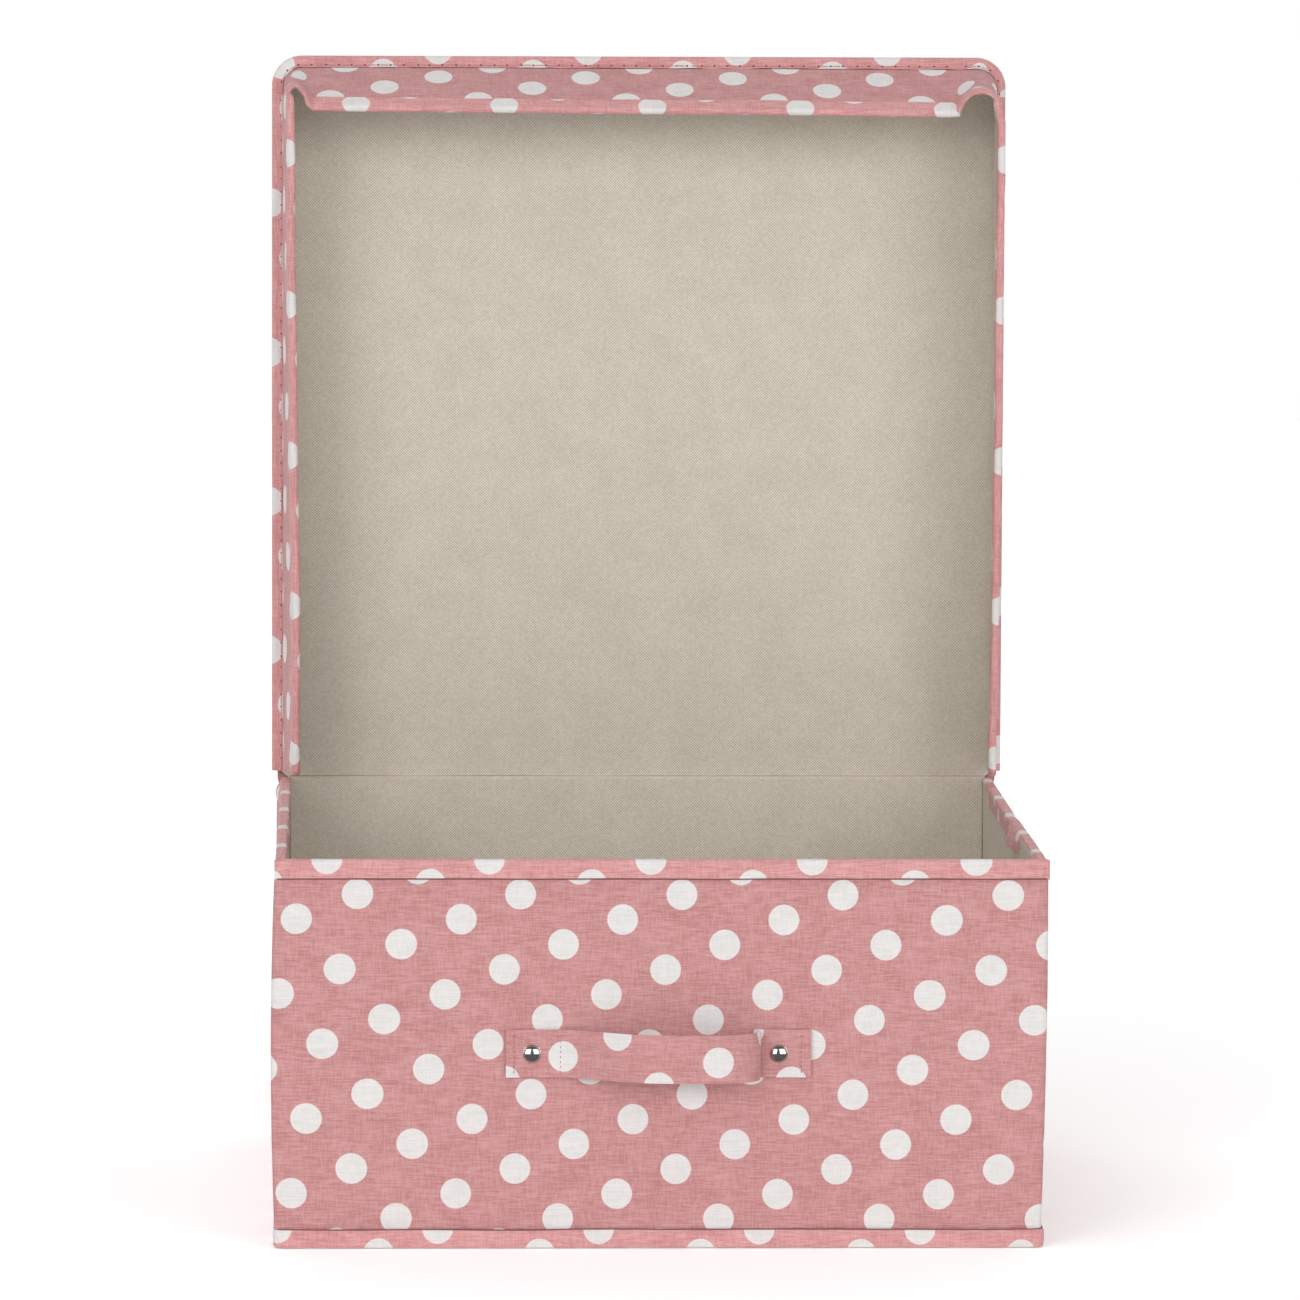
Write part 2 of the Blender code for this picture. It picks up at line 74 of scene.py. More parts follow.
lid_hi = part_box("lid_edge_binding")[1]
LX, LID_TOP, LID_BACK = lid_hi.x, lid_hi.z, lid_hi.y
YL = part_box("lid_lining")[0].y                       # face of the lid's lining
RIM_HINGE_Y = joints["rim_left_fold"]["pos_m"][1]
RIM_T = LX + joints["rim_left_fold"]["pos_m"][0]
RIM_DEPTH = RIM_HINGE_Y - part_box("corner_right_gusset")[0].y
V0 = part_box("rim_left_binding")[0].z                 # side rims run from V0 to V1
V1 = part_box("rim_left_binding")[1].z
U1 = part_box("rim_front_binding")[1].x                # front rim's half length
LID_R = 16.5 * MM                                     # rounding of the lid's corners


def lean_of(joint):
    """How far a rim leans in at rest: it stands square when the lid is shut."""
    link = next(c for c in frame["record"]["behaviour"]["couplings"] if c["joint"] == joint)
    return radians(-link["ratio"] * joints["lid_hinge"]["range_deg"][0])


LEAN_FRONT = lean_of("rim_front_fold")
SIDE_LEAN = {-1: lean_of("rim_left_fold"), 1: lean_of("rim_right_fold")}


# ------------------------ node helpers
class Graph:
    """A material's node tree, built by short calls."""

    def __init__(self, name):
        self.mat = bpy.data.materials.new(name)
        self.mat.use_nodes = True
        self.tree = self.mat.node_tree
        self.bsdf = self.tree.nodes["Principled BSDF"]

    def put(self, socket, value):
        if isinstance(value, bpy.types.NodeSocket):
            self.tree.links.new(value, socket)
        else:
            socket.default_value = value

    def math(self, op, *args):
        n = self.tree.nodes.new("ShaderNodeMath")
        n.operation = op
        for s, v in zip(n.inputs, args):
            self.put(s, v)
        return n.outputs[0]

    def mul(self, a, b):
        return self.math("MULTIPLY", a, b)

    def add(self, a, b):
        return self.math("ADD", a, b)

    def mix(self, factor, a, b, blend="MIX"):
        n = self.tree.nodes.new("ShaderNodeMix")
        n.data_type = "RGBA"
        n.blend_type = blend
        for i, v in ((0, factor), (6, a), (7, b)):
            self.put(n.inputs[i], v)
        return n.outputs[2]

    def ramp(self, value, lo, hi, out_lo=0.0, out_hi=1.0):
        n = self.tree.nodes.new("ShaderNodeMapRange")
        n.interpolation_type = "SMOOTHSTEP"
        for i, v in enumerate((value, lo, hi, out_lo, out_hi)):
            self.put(n.inputs[i], v)
        return n.outputs[0]

    def uv(self):
        n = self.tree.nodes.new("ShaderNodeUVMap")
        n.uv_map = "cloth"
        s = self.tree.nodes.new("ShaderNodeSeparateXYZ")
        self.put(s.inputs[0], n.outputs[0])
        return s.outputs[0], s.outputs[1]

    def xyz(self):
        c = self.tree.nodes.new("ShaderNodeTexCoord")
        s = self.tree.nodes.new("ShaderNodeSeparateXYZ")
        self.put(s.inputs[0], c.outputs["Object"])
        return s.outputs

    def noise(self, u, v, ku, kv, seed, detail=2.0, rough=0.5):
        c = self.tree.nodes.new("ShaderNodeCombineXYZ")
        self.put(c.inputs[0], self.mul(u, ku))
        self.put(c.inputs[1], self.mul(v, kv))
        self.put(c.inputs[2], seed)
        n = self.tree.nodes.new("ShaderNodeTexNoise")
        self.put(n.inputs["Vector"], c.outputs[0])
        self.put(n.inputs["Scale"], 1.0)
        self.put(n.inputs["Detail"], detail)
        self.put(n.inputs["Roughness"], rough)
        return n.outputs[0]

    def bump(self, height, distance, strength=1.0, below=None):
        n = self.tree.nodes.new("ShaderNodeBump")
        self.put(n.inputs["Height"], height)
        self.put(n.inputs["Distance"], distance)
        self.put(n.inputs["Strength"], strength)
        if below is not None:
            self.put(n.inputs["Normal"], below)
        return n.outputs[0]

    def set(self, **kw):
        for k, v in kw.items():
            self.put(self.bsdf.inputs[k.replace("_", " ")], v)
        return self.mat


def yarns(g, u, v, pitch):
    """Plain weave: crossing rows of yarn, 0 in the holes to 1 on the crowns."""
    a = g.math("SINE", g.mul(u, tau / pitch))
    b = g.math("SINE", g.mul(v, tau / pitch))
    return g.math("MULTIPLY_ADD", g.mul(a, b), 0.5, 0.5)


# ------------------------ materials
SPOT_A = Vector((30.56 * MM, 12.93 * MM))      # the print's two repeats
SPOT_B = Vector((22.28 * MM, -26.09 * MM))
SPOT_R = 7.95 * MM


def spotted_cloth(name, light=1.0):
    """Pink heathered cloth with a printed lattice of white spots."""
    g = Graph(name)
    u, v = g.uv()
    det = SPOT_A.x * SPOT_B.y - SPOT_A.y * SPOT_B.x

    def cell(ku, kv):
        c = g.add(g.mul(u, ku / det), g.mul(v, kv / det))
        return g.math("SUBTRACT", g.math("FRACT", g.add(c, 100.5)), 0.5)
    ci = cell(SPOT_B.y, -SPOT_B.x)
    cj = cell(-SPOT_A.y, SPOT_A.x)
    dx = g.add(g.mul(ci, SPOT_A.x), g.mul(cj, SPOT_B.x))
    dy = g.add(g.mul(ci, SPOT_A.y), g.mul(cj, SPOT_B.y))
    r = g.math("SQRT", g.add(g.mul(dx, dx), g.mul(dy, dy)))
    frayed = g.math("MULTIPLY_ADD", g.noise(u, v, 1400.0, 1400.0, 3.1, 1.0), 0.5 * MM, -0.25 * MM)
    spot = g.ramp(g.add(r, frayed), SPOT_R - 0.25 * MM, SPOT_R + 0.25 * MM, 1.0, 0.0)
    rim = g.ramp(g.math("ABSOLUTE", g.math("SUBTRACT", r, SPOT_R - 0.3 * MM)), 0.0, 0.8 * MM, 1.0, 0.0)

    weft = g.noise(u, v, 110.0, 1350.0, 0.3, 2.0, 0.6)
    warp = g.noise(u, v, 1350.0, 160.0, 7.7, 2.0, 0.6)
    cloudy = g.noise(u, v, 60.0, 80.0, 5.2, 3.0, 0.6)
    grain = g.noise(u, v, 900.0, 900.0, 9.4, 2.0, 0.6)
    slub = g.add(g.mul(weft, 0.50), g.mul(warp, 0.32))
    slub = g.add(slub, g.mul(cloudy, 0.18))
    tone = g.ramp(slub, 0.32, 0.68)
    deep = (0.408 * light, 0.172 * light, 0.171 * light, 1.0)
    pale = (0.570 * light, 0.298 * light, 0.295 * light, 1.0)
    pink = g.mix(tone, deep, pale)
    nap = (0.71, 0.45, 0.44, 1.0)
    pink = g.mix(g.ramp(grain, 0.62, 0.80, 0.0, 0.35), pink, nap)
    white = g.mix(g.ramp(slub, 0.38, 0.62), (0.610, 0.594, 0.582, 1.0), (0.690, 0.668, 0.656, 1.0))
    halo = (0.72, 0.63, 0.61, 1.0)
    white = g.mix(g.mul(rim, 0.35), white, halo)
    colour = g.mix(spot, pink, white)

    weave = yarns(g, u, v, 0.62 * MM)
    height = g.add(g.mul(weave, 0.5), g.mul(slub, 0.9))
    normal = g.bump(height, 0.12 * MM, 0.8)
    rough = g.ramp(slub, 0.3, 0.7, 0.88, 0.78)
    return g.set(Base_Color=colour, Normal=normal, Roughness=rough, Sheen_Weight=0.12, Sheen_Roughness=0.6,
                 Specular_IOR_Level=0.25)


def lining_cloth(name):
    """Beige lining with an open basket weave."""
    g = Graph(name)
    u, v = g.uv()
    weave = yarns(g, u, v, 1.55 * MM)
    uneven = g.noise(u, v, 45.0, 45.0, 2.2, 4.0, 0.6)
    thread = g.noise(u, v, 700.0, 700.0, 4.4, 2.0, 0.6)
    deep = g.ramp(g.add(weave, g.mul(thread, 0.6)), 0.35, 1.25)
    base = g.mix(g.ramp(uneven, 0.25, 0.75), (0.710, 0.647, 0.566, 1.0), (0.757, 0.693, 0.612, 1.0))
    colour = g.mix(deep, g.mix(1.0, base, (0.52, 0.50, 0.46, 1.0), "MULTIPLY"), base)
    height = g.add(weave, g.mul(thread, 0.3))
    rough = g.ramp(weave, 0.0, 1.0, 0.92, 0.80)
    return g.set(Base_Color=colour, Normal=g.bump(height, 0.14 * MM, 0.7), Roughness=rough,
                 Sheen_Weight=0.08, Specular_IOR_Level=0.2)


def board_stock(name):
    """Grey board with flecks and short fibres."""
    g = Graph(name)
    x, y, z = g.xyz()
    u, v = g.add(x, y), g.math("SUBTRACT", z, y)
    fleck = g.noise(u, v, 900.0, 900.0, 1.0, 3.0)
    fibre = g.noise(u, v, 90.0, 1400.0, 6.0, 2.0)
    colour = g.mix(g.ramp(fleck, 0.4, 0.65), (0.33, 0.30, 0.26, 1.0), (0.47, 0.44, 0.39, 1.0))
    colour = g.mix(g.ramp(fibre, 0.60, 0.72, 0.0, 0.5), colour, (0.60, 0.56, 0.50, 1.0))
    rough = g.ramp(fibre, 0.3, 0.7, 0.9, 0.8)
    return g.set(Base_Color=colour, Normal=g.bump(fleck, 0.05 * MM, 0.5), Roughness=rough)


def bright_metal(name, tint, rough, mark):
    """Plated metal with faint handling marks."""
    g = Graph(name)
    x, _, z = g.xyz()
    smear = g.noise(x, z, 500.0, 220.0, 2.0, 3.0)
    colour = g.mix(g.ramp(smear, 0.35, 0.7), tint, tuple(0.93 * x for x in tint[:3]) + (1.0,))
    return g.set(Base_Color=colour, Metallic=1.0, Roughness=g.ramp(smear, 0.3, 0.7, rough, rough + mark))


def thread(name, dark, pale):
    """Twisted sewing thread."""
    g = Graph(name)
    x, y, z = g.xyz()
    along = g.add(x, g.add(y, z))
    twist = g.math("MULTIPLY_ADD", g.math("SINE", g.mul(along, tau / (0.35 * MM))), 0.5, 0.5)
    return g.set(Base_Color=g.mix(twist, dark, pale), Normal=g.bump(twist, 0.05 * MM, 0.6), Roughness=0.6)


# each cloth, and each thread below, with its slot in the record
CLOTH = (spotted_cloth("spotted_cloth"), "cover_cloth")
STRAP = (CLOTH[0], "strap_cloth")
TAPED = (spotted_cloth("spotted_tape", 1.17), "binding_tape")
LINED = (lining_cloth("beige_lining"), "lining_cloth")
BOARD_MAT = board_stock("grey_board")
CHROME = bright_metal("chrome", (0.66, 0.65, 0.63, 1.0), 0.06, 0.05)
STEEL = bright_metal("plated_steel", (0.62, 0.62, 0.63, 1.0), 0.28, 0.12)
STRAP_THREAD = (thread("deep_pink_thread", (0.36, 0.10, 0.11, 1.0), (0.52, 0.20, 0.21, 1.0)), "strap_cloth")
TAPE_THREAD = (thread("pink_thread", (0.52, 0.23, 0.23, 1.0), (0.66, 0.34, 0.34, 1.0)), "binding_tape")
# brown cords at the lining's seams, along the hinge and down the back corners: the seams, and painted shade for
# the dark crease lines there
SEAM_AND_SHADE = (thread("brown_seam", (0.235, 0.155, 0.085, 1.0), (0.33, 0.23, 0.13, 1.0)), "lining_cloth")
# dark cords along the front tape's and the hem's sewn edges: the seam line, and painted shade for the groove there
EDGE_SHADE_CORD = (thread("seam_groove", (0.15, 0.05, 0.05, 1.0), (0.24, 0.09, 0.09, 1.0)), "binding_tape")
# dark discs at the needle holes: painted shade for the dents there
HOLE_SHADE = thread("needle_hole", (0.13, 0.035, 0.04, 1.0), (0.17, 0.05, 0.055, 1.0))


# ------------------------ mesh helpers
def lerp(a, b, t):
    return a + (b - a) * t


def ease(a, b, x):
    t = min(1.0, max(0.0, (x - a) / (b - a)))
    return t * t * (3 - 2 * t)


def steps(a, b, n):
    return [lerp(a, b, i / n) for i in range(n + 1)]


def ripple(x, y, size, seed):
    """Smooth unevenness between about -1 and 1, the same at every run."""
    return 1.6 * noise.noise(Vector((x / size, y / size, seed)))


def run_of(pts, start=0.0):
    """Distance along a line of points, 2-D or 3-D, at each of them."""
    run = [start]
    for a, b in zip(pts, pts[1:]):
        run.append(run[-1] + hypot(*(q - p for p, q in zip(a, b))))
    return run


def place_on(run, d):
    """The stretch of a line that distance d falls in, and how far along that stretch it lies."""
    k = max(i for i in range(len(run) - 1) if run[i] <= d + 1e-12)
    return k, (d - run[k]) / (run[k + 1] - run[k])


def catmull(pts, n):
    """Smooth curve through the points."""
    out = []
    ext = [pts[0] * 2 - pts[1]] + pts + [pts[-1] * 2 - pts[-2]]
    for k in range(1, len(ext) - 2):
        p0, p1, p2, p3 = ext[k - 1:k + 3]
        for i in range(n):
            t = i / n
            out.append(0.5 * ((2 * p1) + (p2 - p0) * t + (2 * p0 - 5 * p1 + 4 * p2 - p3) * t * t
                              + (3 * p1 - p0 - 3 * p2 + p3) * t ** 3))
    out.append(pts[-1])
    return out


def new_piece(name, bm, mat, slot, body, replaces=(), sharp=40.0):
    bmesh.ops.recalc_face_normals(bm, faces=bm.faces)
    me = bpy.data.meshes.new(name)
    bm.to_mesh(me)
    bm.free()
    me.shade_smooth()
    me.set_sharp_from_angle(angle=radians(sharp))
    me.materials.append(mat)
    ob = bpy.data.objects.new(name, me)
    bpy.context.collection.objects.link(ob)
    if replaces:
        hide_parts(*replaces)
    if isinstance(body, str):
        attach(ob, body)
    else:
        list(body)
        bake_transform(ob)


def shell(name, rows, thick, uvs, cloth, body, replaces=(), ring=False):
    """Closed layer of cloth. rows is a grid of points on its middle surface, uvs the same grid on the flat
    cloth in metres, and thick its thickness. With ring, the last row joins the first."""
    ni, nj = len(rows), len(rows[0])
    bm = bmesh.new()
    layer = bm.loops.layers.uv.new("cloth")
    sides = []
    for sign in (0.5, -0.5):
        side = []
        for i in range(ni):
            before, after = ((i - 1) % ni, (i + 1) % ni) if ring else (max(i - 1, 0), min(i + 1, ni - 1))
            line = []
            for j in range(nj):
                along = rows[after][j] - rows[before][j]
                across = rows[i][min(j + 1, nj - 1)] - rows[i][max(j - 1, 0)]
                t = thick(i, j) if callable(thick) else thick
                line.append(bm.verts.new(rows[i][j] + along.cross(across).normalized() * t * sign))
            side.append(line)
        sides.append(side)
    top, under = sides

    def quad(corners):
        f = bm.faces.new([s[i % ni][j] for s, i, j in corners])
        for loop, (s, i, j) in zip(f.loops, corners):
            loop[layer].uv = uvs[i][j]
    last = ni if ring else ni - 1
    for i in range(last):
        for j in range(nj - 1):
            quad([(top, i, j), (top, i + 1, j), (top, i + 1, j + 1), (top, i, j + 1)])
            quad([(under, i, j), (under, i, j + 1), (under, i + 1, j + 1), (under, i + 1, j)])
        for j in (0, nj - 1):
            quad([(top, i, j), (top, i + 1, j), (under, i + 1, j), (under, i, j)])
    if not ring:
        for j in range(nj - 1):
            for i in (0, ni - 1):
                quad([(top, i, j), (top, i, j + 1), (under, i, j + 1), (under, i, j)])
    new_piece(name, bm, *cloth, body, replaces)


def sheet(name, us, vs, at, thick, cloth, body, replaces=(), ring=False):
    """Cloth over a grid of stations: at(u, v) gives a point, and its place on the flat cloth. With ring, the
    last station repeats the first."""
    grid = [[at(u, v) for v in vs] for u in us]
    rows = [[point for point, _ in line] for line in grid]
    uvs = [[flat for _, flat in line] for line in grid]
    shell(name, rows[:-1] if ring else rows, thick, uvs, cloth, body, replaces, ring)


def circle(bm, centre, side, up, n):
    """A ring of n points about centre. side and up span it, and are as long as its radius."""
    return [bm.verts.new(centre + side * cos(tau * k / n) + up * sin(tau * k / n)) for k in range(n)]


def tube(bm, rings):
    """Close a row of rings into a solid."""
    n = len(rings[0])
    for a, b in zip(rings, rings[1:]):
        for k in range(n):
            bm.faces.new((a[k], a[(k + 1) % n], b[(k + 1) % n], b[k]))
    bm.faces.new(rings[0])
    bm.faces.new(rings[-1])


def cord(name, points, radius, yarn, body, axis=(0, 1, 0)):
    """A thin cord along points: a sewn seam line, its dark thread also painted shade along the seam. axis is any
    direction that the line doesn't run in.
    """
    bm = bmesh.new()
    rings = []
    for i, p in enumerate(points):
        along = (points[min(i + 1, len(points) - 1)] - points[max(i - 1, 0)]).normalized()
        side = along.cross(Vector(axis)).normalized()
        rings.append(circle(bm, p, side * radius, side.cross(along) * radius, 6))
    tube(bm, rings)
    new_piece(name, bm, *yarn, body, sharp=80.0)


# a stitch's rings: place along it, width and height, where it dips into the cloth at both ends
STITCH = ((0.0, 0.55, -0.9), (0.2, 0.95, 0.1), (0.5, 1.0, 0.45), (0.8, 0.95, 0.1), (1.0, 0.55, -0.9))


def stitch_row(name, points, normals, pitch, length, radius, yarn, body, hole=0.0):
    """Stitches along a line of points. With hole, a dark disc of that radius follows each stitch: painted shade
    for the dent at its needle hole.
    """
    bm = bmesh.new()
    holes = bmesh.new()
    run = run_of(points)

    def at(d):
        k, t = place_on(run, d)
        return points[k].lerp(points[k + 1], t), normals[k].lerp(normals[k + 1], t).normalized()
    for s in range(int(run[-1] / pitch)):
        start = (s + 0.5) * pitch - length / 2 + 0.12 * pitch * ripple(s, 0, 1.3, 1.0)
        start = min(max(start, 0.0), run[-1] - length)
        p0, n0 = at(start)
        p1, n1 = at(start + length)
        along = (p1 - p0).normalized()
        nrm = (n0 + n1).normalized()
        side = along.cross(nrm).normalized()
        tube(bm, [circle(bm, p0.lerp(p1, f) + nrm * radius * lift, side * radius * w, nrm * radius * w, 6)
                  for f, w, lift in STITCH])
        # each dark disc is painted shade for the dent at a needle hole
        if hole:
            c = p1 + along * (pitch - length) / 2
            disc = circle(holes, c, along * 1.25 * hole, side * hole, 8)
            tip = holes.verts.new(c + nrm * 0.10 * MM)
            foot = holes.verts.new(c - nrm * 0.15 * MM)
            for a, b in zip(disc, disc[1:] + disc[:1]):
                holes.faces.new((a, b, tip))
                holes.faces.new((b, a, foot))
    if hole:
        new_piece(name + "_holes", holes, HOLE_SHADE, yarn[1], body, sharp=80.0)
    else:
        holes.free()
    new_piece(name, bm, *yarn, body, sharp=80.0)


# ------------------------ box walls
SPOT_SHIFT = Vector((89.0 * MM, -106.5 * MM))          # the print's place on the front wall
TAB_X, TAB_Z = 64 * MM, 101.7 * MM                     # middle of a handle tab


def front_side_push(x, z):
    """How far the front wall's ends stand out sideways: full towards the top right, slack at the bottom."""
    h = min(1.0, max(0.0, z / H))
    right = 2.6 * MM * sin(min(h * 1.25, 1.0) * pi / 2)
    left = 2.4 * MM * sin(h * pi) ** 0.8 + 0.6 * MM
    return right * ease(0.55, 1.0, x / XO) - left * ease(0.55, 1.0, -x / XO)


def front_cover():
    """Front cloth, turned round both vertical edges; slightly full in the middle."""
    face = YF + SKIN + COVER / 2
    hx = XO - SKIN - COVER / 2 + 0.2 * MM
    rc = TURN_R
    deep = WALL_T - SKIN - rc - 0.2 * MM
    quarter = steps(0, pi / 2, 6)
    plan = [(-hx, face + rc + deep, -1.0, 0.0), (-hx, face + rc + deep / 2, -1.0, 0.0)]
    plan += [(-hx + rc - rc * cos(a), face + rc - rc * sin(a), -cos(a), -sin(a)) for a in quarter]
    plan += [(x, face, 0.0, -1.0) for x in steps(-hx + rc, hx - rc, 110)[1:-1]]
    plan += [(hx - rc + rc * sin(a), face + rc - rc * cos(a), sin(a), -cos(a)) for a in quarter]
    plan += [(hx, face + rc + deep / 2, 1.0, 0.0), (hx, face + rc + deep, 1.0, 0.0)]
    run = run_of([p[:2] for p in plan], -hx - deep - rc * pi / 2 + rc)

    def at(station, z):
        (x, y, nx, ny), along = station
        full = sin(pi * min(1.0, max(0.0, z / H))) ** 0.7 * (1 - (abs(x) / XO) ** 6)
        out = 0.55 * MM * full + 0.30 * MM * ripple(x, z, 0.07, 1.5)
        out += 0.12 * MM * ripple(x, z * 2.2, 0.022, 3.5)
        out *= ease(WALL_Z1, WALL_Z1 - 0.02, z)
        out -= 0.25 * MM * exp(-((abs(x) - TAB_X) / 0.022) ** 2 - ((z - TAB_Z) / 0.022) ** 2)
        point = Vector((x + front_side_push(x, z) + nx * out * 0.4, y + ny * out, z))
        return point, (along + SPOT_SHIFT.x, z + SPOT_SHIFT.y)
    sheet("front_cover_cloth", list(zip(plan, run)), steps(WALL_Z0, WALL_Z1, 56), at, COVER, CLOTH,
          "front_wall", ["front_cover"])


def front_lining():
    y = YF + LINING_IN - LINING / 2
    hx = XO - WALL_T + 1.6 * MM

    def at(x, z):
        return Vector((x, y + 0.25 * MM * ripple(x, z, 0.05, 8.0), z)), (x, z)
    sheet("front_lining_cloth", steps(-hx, hx, 60), steps(WALL_Z0, WALL_Z1 - 1 * MM, 30), at, LINING, LINED,
          "front_wall", ["front_lining"])


def binding_section():
    """Tape folded over a wall's top, from one leg's end to the other's: each point, and its way along."""
    half, r = WALL_T / 2 - TAPE / 2, 1.1 * MM
    quarter = steps(0, pi / 2, 5)
    pts = [(-half, z) for z in steps(-BIND_LEG, -r, 4)]
    pts += [(-half + r - r * cos(a), -r + r * sin(a)) for a in quarter[1:]]
    pts += [(half - r + r * sin(a), -r + r * cos(a)) for a in quarter]
    pts += [(half, z) for z in steps(-r, -BIND_LEG, 4)[1:]]
    return list(zip(pts, run_of(pts)))


def front_binding():
    """Tape over the front wall's top edge, rounded over at both ends, and a dark cord under it: the seam line, and
    painted shade for the groove below the tape's edge.
    """
    near = [0.3 * MM, 0.7 * MM, 1.6 * MM]
    xs = [e - XO for e in near] + steps(-XO + 3 * MM, XO - 3 * MM, 110) + [XO - e for e in reversed(near)]

    def at(x, station):
        (a, z), along = station
        end = min(1.0, (XO - abs(x)) / (1.8 * MM))
        pinch = 1.0 - 0.35 * (1.0 - end) ** 2
        drop = 0.8 * MM * (1.0 - end) ** 2
        wave = 0.22 * MM * ripple(x, a, 0.045, 12.0) + 0.10 * MM * ripple(x, z, 0.012, 14.0)
        low = ease(-2 * MM, -BIND_LEG, z)
        out = (0.35 * MM * low * ripple(x, 0.0, 0.03, 15.0)) * (1 if a > 0 else -1)
        point = Vector((x + front_side_push(x, H), YF + WALL_T / 2 + a * pinch + out * 0.5 + wave * 0.4,
                        H - TAPE / 2 + z + wave * 0.5 - drop))
        return point, (x + 171.9 * MM, along - BIND_LEG - 0.8 * MM)
    sheet("front_edge_tape", xs, binding_section(), at, TAPE, TAPED, "front_wall",
          ["front_binding"])
    # a dark cord under the tape's edge: its seam line, and painted shade for the groove there
    z = H - BIND_LEG - 0.15 * MM
    line = [Vector((x + front_side_push(x, H), YF + 0.05 * MM + 0.1 * MM * ripple(x, 0.0, 0.02, 16.0),
                    z + 0.22 * MM * ripple(x, 0.0, 0.045, 12.0)))
            for x in steps(-XO + 1.5 * MM, XO - 1.5 * MM, 150)]
    cord("front_tape_seam", line, 0.36 * MM, EDGE_SHADE_CORD, "front_wall")


def back_corner_push(s, z):
    """How far a back corner stands out below its top, most on the left."""
    h = min(1.0, max(0.0, z / H))
    return (3.1 * MM if s < 0 else 2.2 * MM) * ease(H, H - 7 * MM, z) * ease(0.0, 0.8, h)


def side_bow(s, y, z, lined=False):
    """How far a side wall stands out: a little full at mid height, a nick at its crease. The lining stays
    flat on its board."""
    h = min(1.0, max(0.0, z / H))
    full = 0.5 * MM * sin(pi * h)
    crease = 0.9 * MM * exp(-((y - CREASE) / (5 * MM)) ** 2)
    if lined:
        return full - crease
    back = back_corner_push(s, z) * ease(YB - 0.06, YB - 0.01, y)
    front_right = 1.3 * MM * ease(CREASE + 0.05, YF + 0.05, y) * ease(0.2, 0.9, h) if s > 0 else 0.0
    return full - crease + back + front_right


CRUMPLE = {-1: 0.8 * MM, 1: 4.2 * MM}          # the tape's slack inside each side wall's front half


def crease_stations(y0, y1, split=False):
    """Places along a side wall. With split, none lies on the crease itself, so that a layer which folds on
    its outside ends square, and doesn't reach past the wall's halves."""
    near = 7 * MM
    middle = steps(CREASE - near, CREASE + near, 14)[1:]
    if split:
        middle = [y for y in middle if abs(y - CREASE) > 0.5 * MM] + [CREASE - 0.5 * MM, CREASE + 0.5 * MM]
    return steps(y0, CREASE - near, 26) + sorted(middle) + steps(CREASE + near, y1, 26)[1:]


def side_blend(side, s, near):
    """From the rear half of a side wall to its front half, across the crease."""
    return (side + "_rear", side + "_front", (s * XO, CREASE + near, 0.1), (s * XO, CREASE - near, 0.1))


def side_wall(side, s):
    """A side wall's cover, lining and tape, each in one across the crease, and the cloth at its corners."""
    y0, y1 = YF + WALL_T + 0.15 * MM, YB - WALL_T - 0.2 * MM

    def cover(y, z):
        out = side_bow(s, y, z) + 0.25 * MM * ripple(y, z, 0.06, 20.0 + s)
        return Vector((s * (XO - SKIN - COVER / 2) + s * out, y, z)), (y + s * 31 * MM, z + 8 * MM)
    sheet(side + "_cover_cloth", crease_stations(y0, y1), steps(WALL_Z0, WALL_Z1, 36), cover, COVER, CLOTH,
          side_blend(side, s, 4 * MM), [side + "_rear_cover", side + "_front_cover"])

    body = side_blend(side, s, 0.4 * MM)
    ys = crease_stations(y0, y1, True)

    def lining(y, z):
        out = side_bow(s, y, z, True) * 0.6 + 0.25 * MM * ripple(y, z, 0.05, 30.0 + s)
        return Vector((s * (XO - LINING_IN + LINING / 2) + s * out, y, z)), (y, z)
    sheet(side + "_lining_cloth", ys, steps(WALL_Z0, WALL_Z1 - 1 * MM, 24), lining, LINING, LINED, body,
          [side + "_rear_lining", side + "_front_lining"])

    def tape(y, station):
        (a, z), along = station
        nip = 0.5 * MM * exp(-((y - CREASE) / (3 * MM)) ** 2)
        wave = 0.22 * MM * ripple(y, a, 0.035, 40.0 + s) + 0.12 * MM * ripple(y, z, 0.011, 42.0)
        inside = ease(0.0, WALL_T / 2 - TAPE / 2, -s * a)
        crumple = CRUMPLE[s] * exp(-((y - CREASE + 0.050) / 0.022) ** 2) * inside * ease(0.0, -5 * MM, z)
        x = s * (XO - WALL_T / 2 + side_bow(s, y, H + z) - crumple) + a + wave * 0.5
        return Vector((x, y, H - TAPE / 2 + z + wave * 0.5 - nip)), (y + s * 12 * MM, along)
    sheet(side + "_edge_tape", ys, binding_section(), tape, TAPE, TAPED, body,
          [side + "_rear_binding", side + "_front_binding"])

    # cloth behind the vertical corner seams, seen only when the walls fold
    for part, a, b, y, turn in (("front", side + "_front", "front_wall", YF + WALL_T, -1),
                                ("rear", side + "_rear", "base", YB - WALL_T, 1)):
        def corner(t, z):
            return Vector((s * (XO - SKIN - COVER - 0.35 * MM), y + turn * t, z)), (t, z)
        link = (a, b, (s * XO, y - turn * 2.2 * MM, 0.1), (s * XO, y + turn * 2.2 * MM, 0.1))
        if (side, part) == ("right", "front"):      # the loop of walls closes here, without a joint
            link = a
        sheet("%s_%s_corner_cloth" % (side, part), steps(-3.2 * MM, 3.2 * MM, 8), steps(WALL_Z0, WALL_Z1, 12),
              corner, 0.35 * MM, CLOTH, link)


